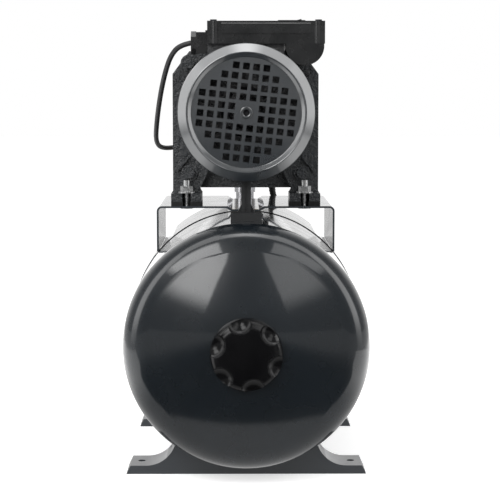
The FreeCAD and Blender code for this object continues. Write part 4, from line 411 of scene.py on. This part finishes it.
def cut_away(piece, tool):
    """Takes a tool's solid out of a piece and puts the result in the piece's mesh."""
    recalculate(piece.data)
    recalculate(tool.data)
    cutter = piece.modifiers.new("cut", "BOOLEAN")
    cutter.operation = "DIFFERENCE"
    cutter.solver = "EXACT"
    cutter.object = tool
    seen = bpy.context.evaluated_depsgraph_get()
    result = bpy.data.meshes.new_from_object(piece.evaluated_get(seen))
    piece.modifiers.clear()
    piece.data = result
    bpy.data.objects.remove(tool)


cut_away(cover, punch_grid())
cover.data.polygons.foreach_set("use_smooth", [True] * len(cover.data.polygons))
cover.data.set_sharp_from_angle(angle=SMOOTH_UP_TO)
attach(cover, "set")
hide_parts("fan_cover")
print("fan cover with", len(list(hole_places())), "holes and", len(cover.data.polygons), "faces")

# %% [markdown]
# ## The lid's front
# The box lid is a little proud of the box at its front, between the corner columns, with a
# chamfer along the top that shows as a bright line. The CAD model has lid and box flush there.

# %% Lid panel
COLUMN_PROUD = 1.2 * MM
PANEL_INSET = 16 * MM
PANEL_PROUD = 0.9 * MM
PANEL_SUNK = 0.2 * MM
PANEL_CHAMFER = 1.3 * MM
PANEL_HEAD_DROP, PANEL_FOOT_DROP = 1.9 * MM, 14.1 * MM


def prism_piece(name, outline, low_x, high_x):
    """An outline of depth and height, drawn out along X."""
    count = len(outline)
    verts = [(x, y, z) for x in (low_x, high_x) for y, z in outline]
    faces = [tuple(range(count)), tuple(reversed(range(count, 2 * count)))]
    faces += [(k, k + count, (k + 1) % count + count, (k + 1) % count) for k in range(count)]
    piece = new_piece(name, verts, faces)
    recalculate(piece.data)
    return piece


lid_low, lid_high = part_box("terminal_lid")
box_front = lid_low.y + COLUMN_PROUD
panel_back, panel_front = box_front + PANEL_SUNK, box_front - PANEL_PROUD
panel_foot, panel_head = lid_high.z - PANEL_FOOT_DROP, lid_high.z - PANEL_HEAD_DROP
lid_panel = prism_piece("lid_panel", [
    (panel_back, panel_foot), (panel_front, panel_foot),
    (panel_front, panel_head - PANEL_CHAMFER), (panel_back, panel_head),
], lid_low.x + PANEL_INSET, lid_high.x - PANEL_INSET)
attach(lid_panel, "set")
print("lid panel", round((panel_head - panel_foot) / MM, 1), "mm high")

# %% [markdown]
# ## Surfaces
# Every finish is a small node tree on one shader. Three things make a surface look real: its colour
# drifts a little over a hand's width, its roughness drifts as well, and it has relief at the
# scale that the real process leaves, such as the orange peel of sprayed paint or the sand of a
# casting. All the textures use object coordinates. Each object sits at the origin, so the
# numbers are per metre: a scale of 400 gives grains of about 2.5 mm.

# %% Helpers for a surface
NOISE_LOW, NOISE_HIGH = 0.3, 0.7


def new_surface(name, colour, roughness, metallic=0.0, coat=0.0, coat_roughness=0.03, specular=0.5):
    surface = bpy.data.materials.new(name)
    surface.use_nodes = True
    shader = surface.node_tree.nodes["Principled BSDF"]
    shader.inputs["Base Color"].default_value = (*colour, 1)
    shader.inputs["Roughness"].default_value = roughness
    shader.inputs["Metallic"].default_value = metallic
    shader.inputs["Coat Weight"].default_value = coat
    shader.inputs["Coat Roughness"].default_value = coat_roughness
    shader.inputs["Specular IOR Level"].default_value = specular
    surface.diffuse_color = (*colour, 1)
    return surface


def shader_of(surface):
    return surface.node_tree.nodes["Principled BSDF"]


def add_node(surface, kind, **values):
    node = surface.node_tree.nodes.new(kind)
    for socket, value in values.items():
        node.inputs[socket.replace("_", " ")].default_value = value
    return node


def wire(surface, source, target):
    surface.node_tree.links.new(source, target)


def place_of(surface, stretch=(1, 1, 1)):
    where = surface.node_tree.nodes.new("ShaderNodeTexCoord")
    scale = add_node(surface, "ShaderNodeMapping", Scale=stretch)
    wire(surface, where.outputs["Object"], scale.inputs["Vector"])
    return scale.outputs["Vector"]


def cloud(surface, scale, detail=3.0, rough=0.5, stretch=(1, 1, 1)):
    noise = add_node(surface, "ShaderNodeTexNoise", Scale=scale, Detail=detail, Roughness=rough)
    wire(surface, place_of(surface, stretch), noise.inputs["Vector"])
    return noise.outputs["Fac"]


def cells(surface, scale):
    voronoi = add_node(surface, "ShaderNodeTexVoronoi", Scale=scale)
    wire(surface, place_of(surface), voronoi.inputs["Vector"])
    return voronoi.outputs["Distance"]


def colour_drift(surface, source, dark, light, low=0.35, high=0.65):
    ramp = surface.node_tree.nodes.new("ShaderNodeValToRGB")
    ramp.color_ramp.elements[0].position = low
    ramp.color_ramp.elements[0].color = (*dark, 1)
    ramp.color_ramp.elements[1].position = high
    ramp.color_ramp.elements[1].color = (*light, 1)
    wire(surface, source, ramp.inputs["Fac"])
    wire(surface, ramp.outputs["Color"], shader_of(surface).inputs["Base Color"])


def number_drift(surface, source, socket, low, high):
    spread = add_node(
        surface, "ShaderNodeMapRange", From_Min=NOISE_LOW, From_Max=NOISE_HIGH, To_Min=low, To_Max=high,
    )
    wire(surface, source, spread.inputs["Value"])
    wire(surface, spread.outputs["Result"], shader_of(surface).inputs[socket])


def relief(surface, source, height, strength=1.0, under=None, coat_too=False):
    bump = add_node(surface, "ShaderNodeBump", Strength=strength, Distance=height)
    wire(surface, source, bump.inputs["Height"])
    if under is not None:
        wire(surface, under.outputs["Normal"], bump.inputs["Normal"])
    wire(surface, bump.outputs["Normal"], shader_of(surface).inputs["Normal"])
    if coat_too:
        wire(surface, bump.outputs["Normal"], shader_of(surface).inputs["Coat Normal"])
    return bump


# %% [markdown]
# ## Sprayed enamel
# The tank, the fan cover and the plate carry a stoved blue-black enamel: a nearly black coat with
# a wet gloss. Its relief is orange peel, a very shallow swell a few millimetres wide, so
# reflections have slightly wavy edges. The coat layer gives the hard mirror at a flat angle that
# turns the top of the plate almost white in a bright studio.

# %% Enamel finishes
def enamel(name, dark, light, roughness, coat, peel=0.012 * MM):
    surface = new_surface(name, light, roughness, coat=coat, coat_roughness=0.05)
    colour_drift(surface, cloud(surface, 9, detail=4), dark, light)
    number_drift(surface, cloud(surface, 30, detail=5), "Roughness", roughness - 0.04, roughness + 0.05)
    swell = relief(surface, cloud(surface, 180, detail=1), peel, 0.5)
    relief(surface, cloud(surface, 1400, detail=1), 0.001 * MM, 0.3, under=swell, coat_too=True)
    return surface


tank_enamel = enamel("tank_enamel", (0.006, 0.0085, 0.011), (0.008, 0.0115, 0.015), 0.26, 1.0)
shader_of(tank_enamel).inputs["Specular IOR Level"].default_value = 0.3
cover_enamel = enamel("cover_enamel", (0.015, 0.019, 0.023), (0.02, 0.025, 0.03), 0.3, 1.0)
shader_of(cover_enamel).inputs["Coat IOR"].default_value = 1.9
shader_of(cover_enamel).inputs["Specular IOR Level"].default_value = 1.0
plate_enamel = enamel("plate_enamel", (0.035, 0.042, 0.050), (0.045, 0.052, 0.06), 0.25, 1.0)
foot_enamel = enamel("foot_enamel", (0.026, 0.031, 0.037), (0.034, 0.04, 0.047), 0.38, 0.7)
print("enamels:", [m.name for m in (tank_enamel, cover_enamel, plate_enamel, foot_enamel)])

# %% [markdown]
# ## Black paint on a sand casting
# The pump casing and its bracket are cast in sand and painted black, so the surface shows grains
# of a millimetre or two under a soft gloss, with wider hollows between. Two noises stacked in two
# bump nodes give both scales. The high spots of the grains are painted lighter, a painted highlight
# for the glints they catch.

# %% Cast and moulded finishes
def casting(name, dark, light, roughness, grain=0.55 * MM):
    surface = new_surface(name, dark, roughness, coat=0.6, coat_roughness=0.2)
    grains = cloud(surface, 560, detail=3, rough=0.65)
    # The grain peaks are painted lighter than the hollows: a painted highlight.
    colour_drift(surface, grains, dark, light, 0.4, 0.7)
    patches = cloud(surface, 120, detail=4)
    number_drift(surface, patches, "Roughness", roughness - 0.1, roughness + 0.12)
    wide = relief(surface, cloud(surface, 260, detail=2), 3 * grain, 0.7)
    relief(surface, grains, 1.6 * grain, 0.9, under=wide, coat_too=True)
    return surface


cast_black = casting("cast_black", (0.010, 0.012, 0.014), (0.03, 0.034, 0.039), 0.3)
cast_motor = casting("cast_motor", (0.016, 0.017, 0.019), (0.03, 0.031, 0.034), 0.4, 0.25 * MM)


def moulded(name, dark, light, roughness, grain_scale=1400, grain=0.05 * MM, specular=0.5):
    surface = new_surface(name, light, roughness, specular=specular)
    colour_drift(surface, cloud(surface, 25, detail=4), dark, light)
    number_drift(surface, cloud(surface, 60, detail=5), "Roughness", roughness - 0.06, roughness + 0.08)
    relief(surface, cells(surface, grain_scale), grain, 0.35)
    return surface


box_plastic = moulded("box_plastic", (0.011, 0.0115, 0.012), (0.015, 0.0155, 0.016), 0.24)
cap_plastic = moulded(
    "cap_plastic", (0.0025, 0.0025, 0.003), (0.004, 0.004, 0.0045), 0.2, 2600, 0.02 * MM, 0.28,
)
foot_plastic = moulded("foot_plastic", (0.017, 0.018, 0.019), (0.023, 0.024, 0.026), 0.4)
rocker_gloss = moulded(
    "rocker_gloss", (0.018, 0.018, 0.018), (0.024, 0.024, 0.024), 0.18, 3000, 0.01 * MM,
)
switch_grey = moulded("switch_grey", (0.10, 0.10, 0.11), (0.13, 0.13, 0.14), 0.45)
shell_plastic = moulded("capacitor_shell", (0.62, 0.62, 0.6), (0.72, 0.72, 0.7), 0.35, 2400, 0.02 * MM)
print("castings and mouldings made")

# %% [markdown]
# ## Metals
# Zinc plate is a soft grey mirror with a faint crystal bloom, so its colour follows a cell
# texture and its roughness a cloudy one. Turned steel and brass show fine grooves: a noise squeezed
# hard along one axis. Copper wire is enamelled, which is a clear coat over the metal.

# %% Metal finishes
def plated(name, dark, light, roughness, bloom=900):
    surface = new_surface(name, light, roughness, metallic=1.0)
    colour_drift(surface, cells(surface, bloom), dark, light, 0.1, 0.9)
    bloom_patches = cloud(surface, 300, detail=5)
    number_drift(surface, bloom_patches, "Roughness", roughness - 0.08, roughness + 0.12)
    relief(surface, cloud(surface, 1500, detail=3), 0.02 * MM, 0.4)
    return surface


def turned_metal(name, dark, light, roughness, stretch=(1, 30, 1), height=0.02 * MM):
    surface = new_surface(name, light, roughness, metallic=1.0)
    grooves = cloud(surface, 120, detail=6, rough=0.7, stretch=stretch)
    colour_drift(surface, grooves, dark, light, 0.3, 0.7)
    number_drift(surface, grooves, "Roughness", roughness - 0.06, roughness + 0.1)
    relief(surface, grooves, height, 0.5)
    return surface


zinc = plated("zinc", (0.50, 0.51, 0.52), (0.68, 0.68, 0.67), 0.3)
bare_steel = turned_metal("bare_steel", (0.42, 0.42, 0.43), (0.6, 0.6, 0.6), 0.28)
ROUND_GROOVES, WIRE_GROOVES, SHEET_GROOVES = (30, 1, 30), (40, 2, 40), (1, 60, 1)
ferrule_metal = turned_metal("ferrule_metal", (0.5, 0.5, 0.52), (0.66, 0.66, 0.68), 0.22, ROUND_GROOVES)
brass = turned_metal("brass", (0.62, 0.44, 0.17), (0.8, 0.6, 0.28), 0.3, ROUND_GROOVES, 0.03 * MM)
copper = turned_metal(
    "copper_wire", (0.55, 0.22, 0.1), (0.72, 0.36, 0.18), 0.25, WIRE_GROOVES, 0.3 * MM,
)
shader_of(copper).inputs["Coat Weight"].default_value = 0.8
dark_zinc = plated("dark_zinc", (0.03, 0.032, 0.036), (0.05, 0.052, 0.056), 0.35)
# The shaft's end lies in shade inside the cover's eye, so its steel is painted nearly black: painted
# shade.
painted_shade_steel = turned_metal("painted_shade_steel", (0.03, 0.03, 0.032), (0.06, 0.06, 0.064), 0.4)
braid_wire = plated("braid_wire", (0.42, 0.42, 0.44), (0.62, 0.62, 0.64), 0.28, 2500)
lamination = turned_metal(
    "lamination_steel", (0.28, 0.28, 0.29), (0.4, 0.4, 0.42), 0.4, SHEET_GROOVES, 0.15 * MM,
)
print("metals made")

# %% [markdown]
# ## Rubber, ceramic, print and glass
# Rubber has almost no gloss and a dusty bloom. The dial is a white print, and its lens is a
# thin clear moulding. Transmission does that better than alpha, because it also bends light.

# %% Soft and clear finishes
cord_rubber = moulded("cord_rubber", (0.014, 0.014, 0.015), (0.022, 0.022, 0.023), 0.5, 2200, 0.03 * MM)
pad_rubber = moulded(
    "pad_rubber", (0.012, 0.012, 0.012), (0.019, 0.019, 0.019), 0.7, 900, 0.08 * MM, 0.3,
)
seal_ceramic = moulded("seal_ceramic", (0.26, 0.26, 0.27), (0.34, 0.34, 0.34), 0.2, 3000, 0.005 * MM)
dial_print = moulded("dial_print", (0.82, 0.82, 0.81), (0.88, 0.88, 0.87), 0.5, 4000, 0.004 * MM)
needle_paint = moulded("needle_paint", (0.02, 0.02, 0.02), (0.03, 0.03, 0.03), 0.35, 4000, 0.004 * MM)

lens_clear = new_surface("lens_clear", (0.96, 0.97, 0.97), 0.03, specular=0.5)
shader_of(lens_clear).inputs["Transmission Weight"].default_value = 1.0
shader_of(lens_clear).inputs["IOR"].default_value = 1.49
number_drift(lens_clear, cloud(lens_clear, 80, detail=4), "Roughness", 0.01, 0.06)
print("soft and clear finishes made")

# %% [markdown]
# ## Putting the finishes on
# The record names a material slot for every node of the CAD model. One table turns a slot into a
# finish, and a second one holds the nodes that need a finish of their own.

# %% Finish for each node
FINISH = {
    "tank_paint": tank_enamel, "foot_paint": foot_enamel, "plate_paint": plate_enamel,
    "cover_paint": cover_enamel, "bare_steel": bare_steel, "zinc_steel": zinc,
    "black_casting": cast_black, "black_aluminium": cast_motor, "black_plastic": box_plastic,
    "rocker_plastic": rocker_gloss, "grey_plastic": switch_grey, "capacitor_plastic": shell_plastic,
    "rubber": pad_rubber, "brass": brass, "ferrule_steel": ferrule_metal, "braid": braid_wire,
    "copper": copper, "seal": seal_ceramic, "dial": dial_print, "needle": needle_paint,
    "lens": lens_clear,
}
OWN_FINISH = {
    "valve_cap": cap_plastic, "motor_foot": foot_plastic, "stator_core": lamination,
    "rotor_core": lamination, "shaft": painted_shade_steel, "mains_plug": cord_rubber,
    "casing_bolts": cast_black, "fan_cover_screws": dark_zinc, "terminal_lid_screws": dark_zinc,
}


def dress(thing, finish):
    thing.data.materials.clear()
    thing.data.materials.append(finish)


for part in frame["record"]["subparts"]:
    node = part["node"]
    dress(frame["nodes"][node], OWN_FINISH.get(node, FINISH[part["material_slot"]]))
for piece in (lead, mains, switch_sleeve, plug_sleeve):
    dress(piece, cord_rubber)
dress(cover, cover_enamel)
dress(lid_panel, box_plastic)

# %% [markdown]
# ## A studio made of banks
# Glossy black shows nothing but what it mirrors, so the studio is built from its reflections. A
# bank is a glowing card that fades out at its edges. Its place is worked out backwards: where a
# bank's edge shows on the dome, the dome's slope there says which way the sight line bounces. Two
# tilted banks beside the camera and two on the ceiling in front make the two pale fields on the
# upper dome, with the dark room between them. The cone of the fan cover mirrors what is straight
# beside it and above it: a narrow bank at each side, a wide one on the ceiling and a brighter one
# in its middle.

# %% Helpers for glowing cards
def soft_edge(tree, value, start, end):
    """A share that rises smoothly from 0 at the start value to 1 at the end value."""
    edge = tree.nodes.new("ShaderNodeMapRange")
    edge.interpolation_type = "SMOOTHSTEP"
    edge.inputs["From Min"].default_value = start
    edge.inputs["From Max"].default_value = end
    tree.links.new(value, edge.inputs["Value"])
    return edge.outputs["Result"]


def product(tree, first, second):
    times = tree.nodes.new("ShaderNodeMath")
    times.operation = "MULTIPLY"
    for socket, value in zip(times.inputs, (first, second)):
        if isinstance(value, (int, float)):
            socket.default_value = value
        else:
            tree.links.new(value, socket)
    return times.outputs[0]


def blend_values(tree, share, low, high):
    """A value that goes from low to high with a share from 0 to 1."""
    mixed = tree.nodes.new("ShaderNodeMix")
    tree.links.new(share, mixed.inputs["Factor"])
    for socket, value in ((mixed.inputs["A"], low), (mixed.inputs["B"], high)):
        if isinstance(value, (int, float)):
            socket.default_value = value
        else:
            tree.links.new(value, socket)
    return mixed.outputs["Result"]


def bank(name, corner, along, up, level, edges):
    """A glowing card that fades out. The edges are the soft shares at start, end, foot and head."""
    corner, along, up = Vector(corner), Vector(along), Vector(up)
    mesh = bpy.data.meshes.new(name)
    mesh.from_pydata([corner, corner + along, corner + along + up, corner + up], [], [(0, 1, 2, 3)])
    layer = mesh.uv_layers.new(name="card")
    for loop, place in zip(layer.data, ((0, 0), (1, 0), (1, 1), (0, 1))):
        loop.uv = place
    glow = bpy.data.materials.new(name + "_glow")
    glow.use_nodes = True
    tree = glow.node_tree
    tree.nodes.clear()
    light = tree.nodes.new("ShaderNodeEmission")
    clear = tree.nodes.new("ShaderNodeBsdfTransparent")
    faded = tree.nodes.new("ShaderNodeMixShader")
    out = tree.nodes.new("ShaderNodeOutputMaterial")
    where = tree.nodes.new("ShaderNodeTexCoord")
    split = tree.nodes.new("ShaderNodeSeparateXYZ")
    tree.links.new(where.outputs["UV"], split.inputs[0])
    across, high = split.outputs["X"], split.outputs["Y"]
    share = 1.0
    for value, start, end in (
        (across, 0, edges[0]), (across, 1, 1 - edges[1]), (high, 0, edges[2]), (high, 1, 1 - edges[3]),
    ):
        share = product(tree, soft_edge(tree, value, start, end), share)
    light.inputs["Strength"].default_value = level
    tree.links.new(share, faded.inputs[0])
    tree.links.new(clear.outputs[0], faded.inputs[1])
    tree.links.new(light.outputs[0], faded.inputs[2])
    tree.links.new(faded.outputs[0], out.inputs["Surface"])
    mesh.materials.append(glow)
    card = bpy.data.objects.new(name, mesh)
    card.visible_camera = False
    card.visible_shadow = False
    bpy.context.scene.collection.objects.link(card)


# %% The banks
FRONT_Y = -2.0
CEILING_Z = 1.65
LEAN = math.radians(20)
FRONT_X, FRONT_Z, FRONT_WIDE, FRONT_HIGH = 0.57, 0.36, 1.5, 1.1
FRONT_EDGES = (0.03, 0.7, 0.3, 0.03)
CEILING_X, CEILING_WIDE, CEILING_DEEP = 0.42, 1.6, 1.5
CEILING_EDGES = (0.04, 0.3, 0.03, 0.2)
SIDE_X, SIDE_Y, SIDE_Z, SIDE_DEEP, SIDE_HIGH = 0.95, -0.44, 0.01, 0.4, 1.45
SIDE_EDGES = (0.2, 0.2, 0.25, 0.15)
LEFT_LEVELS, RIGHT_LEVELS = (5.2, 5.0, 2.5), (1.9, 2.0, 2.4)

for side, prefix, levels in ((-1, "left", LEFT_LEVELS), (1, "right", RIGHT_LEVELS)):
    front, ceiling, beside = levels
    outward = (side * FRONT_WIDE * math.cos(LEAN), 0, FRONT_WIDE * math.sin(LEAN))
    upward = (-side * FRONT_HIGH * math.sin(LEAN), 0, FRONT_HIGH * math.cos(LEAN))
    bank(prefix + "_bank", (side * FRONT_X, FRONT_Y, FRONT_Z), outward, upward, front, FRONT_EDGES)
    bank(
        prefix + "_ceiling_bank", (side * CEILING_X, FRONT_Y, CEILING_Z),
        (side * CEILING_WIDE, 0, 0), (0, CEILING_DEEP, 0), ceiling, CEILING_EDGES,
    )
    bank(
        prefix + "_side_bank", (side * SIDE_X, SIDE_Y, SIDE_Z),
        (0, SIDE_DEEP, 0), (0, 0, SIDE_HIGH), beside, SIDE_EDGES,
    )
bank(
    "shoulder_bank", corner=(-2.0, -0.42, CEILING_Z), along=(4.0, 0, 0), up=(0, 0.6, 0),
    level=2.0, edges=(0.05, 0.05, 0.1, 0.2),
)
bank(
    "top_bank", corner=(-0.38, -0.36, CEILING_Z - 0.05), along=(0.76, 0, 0), up=(0, 1.1, 0),
    level=4.2, edges=(0.45, 0.45, 0.05, 0.3),
)

# %% [markdown]
# ## The world
# Rays from the camera see pure white. Mirror rays see a white sweep behind the set and a dim room
# in front of it, by their direction, and all other rays get an even light.

# %% World
ROOM_LEVEL = 0.35
ROOM_IN_MIRRORS, SWEEP_IN_MIRRORS = 0.22, 0.9
SWEEP_FROM, SWEEP_TO = 0.35, 1.0
world = bpy.data.worlds.new("studio")
bpy.context.scene.world = world
world.use_nodes = True
tree = world.node_tree
tree.nodes.clear()
rays = tree.nodes.new("ShaderNodeLightPath")
ways = tree.nodes.new("ShaderNodeTexCoord")
split = tree.nodes.new("ShaderNodeSeparateXYZ")
sweep = tree.nodes.new("ShaderNodeMapRange")
sweep.interpolation_type = "SMOOTHSTEP"
for socket, value in (
    ("From Min", SWEEP_FROM), ("From Max", SWEEP_TO),
    ("To Min", ROOM_IN_MIRRORS), ("To Max", SWEEP_IN_MIRRORS),
):
    sweep.inputs[socket].default_value = value
room, mirrored, seen = (tree.nodes.new("ShaderNodeBackground") for _ in range(3))
for background in (room, mirrored, seen):
    background.inputs["Color"].default_value = (1, 1, 1, 1)
room.inputs["Strength"].default_value = ROOM_LEVEL
mirror_or_clear = tree.nodes.new("ShaderNodeMath")
mirror_or_clear.operation = "MAXIMUM"
by_mirror = tree.nodes.new("ShaderNodeMixShader")
by_camera = tree.nodes.new("ShaderNodeMixShader")
output = tree.nodes.new("ShaderNodeOutputWorld")
for source, target in (
    (ways.outputs["Generated"], split.inputs[0]),
    (split.outputs["Y"], sweep.inputs["Value"]),
    (sweep.outputs["Result"], mirrored.inputs["Strength"]),
    (rays.outputs["Is Glossy Ray"], mirror_or_clear.inputs[0]),
    (rays.outputs["Is Transmission Ray"], mirror_or_clear.inputs[1]),
    (mirror_or_clear.outputs[0], by_mirror.inputs[0]),
    (room.outputs[0], by_mirror.inputs[1]),
    (mirrored.outputs[0], by_mirror.inputs[2]),
    (rays.outputs["Is Camera Ray"], by_camera.inputs[0]),
    (by_mirror.outputs[0], by_camera.inputs[1]),
    (seen.outputs[0], by_camera.inputs[2]),
    (by_camera.outputs[0], output.inputs["Surface"]),
):
    tree.links.new(source, target)
print("world level", ROOM_LEVEL)

# %% [markdown]
# ## The floor
# The floor is a pale disc. For the camera a glow lifts it, less at the feet, so that their
# shadow stays, and fully from 0.7 metres on, so that it joins the white background. For mirror
# rays it is a pale table that ends a hand's breadth in front of the tank: the dome's lower half
# shows that edge as a curved line, pale below and dark above. The table is brighter at both
# sides, where the cone of the fan cover mirrors it.

# %% Floor
FLOOR_RADIUS = 12.0
FLOOR_SIDES = 96
PAPER = (0.82, 0.82, 0.82)
TABLE_EDGE_Y = -0.33
EDGE_HALF_WIDTH = 0.012
EDGE_STEP, STEP_FROM_X, STEP_TO_X = 0.12, 0.35, 0.6
GLOW_NEAR, GLOW_FAR = 0.58, 0.75
GLOW_FROM, GLOW_TO = 0.3, 0.7
TABLE_MIDDLE, TABLE_SIDES = 0.55, 1.4
SIDES_FROM_X, SIDES_FULL_X, SIDES_FADE_X, SIDES_END_X = 0.2, 0.42, 0.85, 1.2
FRONT_MIDDLE, FRONT_SIDES = 0.04, 0.42
FRONT_FROM_X, FRONT_TO_X = 0.3, 0.8
floor_turns = [2 * math.pi * k / FLOOR_SIDES for k in range(FLOOR_SIDES)]
ring = [(FLOOR_RADIUS * math.cos(turn), FLOOR_RADIUS * math.sin(turn), 0) for turn in floor_turns]
floor = new_piece("floor", ring, [tuple(range(FLOOR_SIDES))])

floor_paper = new_surface("floor_paper", PAPER, 0.9, specular=0.1)
paper = floor_paper.node_tree
paper_shader = shader_of(floor_paper)
paper_rays = paper.nodes.new("ShaderNodeLightPath")
place = paper.nodes.new("ShaderNodeTexCoord").outputs["Object"]
distance = paper.nodes.new("ShaderNodeVectorMath")
distance.operation = "LENGTH"
paper.links.new(place, distance.inputs[0])
axes = paper.nodes.new("ShaderNodeSeparateXYZ")
paper.links.new(place, axes.inputs[0])
absolute = paper.nodes.new("ShaderNodeMath")
absolute.operation = "ABSOLUTE"
paper.links.new(axes.outputs["X"], absolute.inputs[0])
aside = absolute.outputs[0]

step = blend_values(paper, soft_edge(paper, aside, STEP_FROM_X, STEP_TO_X), 0, EDGE_STEP)
depth = paper.nodes.new("ShaderNodeMath")
paper.links.new(axes.outputs["Y"], depth.inputs[0])
paper.links.new(step, depth.inputs[1])
on_table = soft_edge(
    paper, depth.outputs[0], TABLE_EDGE_Y - EDGE_HALF_WIDTH, TABLE_EDGE_Y + EDGE_HALF_WIDTH,
)
sides = product(
    paper, soft_edge(paper, aside, SIDES_FROM_X, SIDES_FULL_X),
    soft_edge(paper, aside, SIDES_END_X, SIDES_FADE_X),
)
table_glow = blend_values(paper, sides, TABLE_MIDDLE, TABLE_SIDES)
front_sides = soft_edge(paper, aside, FRONT_FROM_X, FRONT_TO_X)
front_glow = blend_values(paper, front_sides, FRONT_MIDDLE, FRONT_SIDES)
mirror_glow = blend_values(paper, on_table, front_glow, table_glow)

rise = paper.nodes.new("ShaderNodeMapRange")
for socket, value in (
    ("From Min", GLOW_FROM), ("From Max", GLOW_TO), ("To Min", GLOW_NEAR), ("To Max", GLOW_FAR),
):
    rise.inputs[socket].default_value = value
paper.links.new(distance.outputs["Value"], rise.inputs["Value"])
seen_glow = product(paper, rise.outputs["Result"], paper_rays.outputs["Is Camera Ray"])
paper_shader.inputs["Emission Color"].default_value = (1, 1, 1, 1)
paper.links.new(seen_glow, paper_shader.inputs["Emission Strength"])
mirrored_floor = paper.nodes.new("ShaderNodeEmission")
paper.links.new(mirror_glow, mirrored_floor.inputs["Strength"])
by_ray = paper.nodes.new("ShaderNodeMixShader")
paper.links.new(paper_rays.outputs["Is Glossy Ray"], by_ray.inputs[0])
paper.links.new(paper_shader.outputs[0], by_ray.inputs[1])
paper.links.new(mirrored_floor.outputs[0], by_ray.inputs[2])
paper.links.new(by_ray.outputs[0], paper.nodes["Material Output"].inputs["Surface"])
floor.data.materials.append(floor_paper)
print("floor of", 2 * FLOOR_RADIUS, "m across")

# %% [markdown]
# ## Last settings
# The Standard view transform shows a colour as it is written.

# %% Finish
bpy.context.scene.view_settings.view_transform = "Standard"
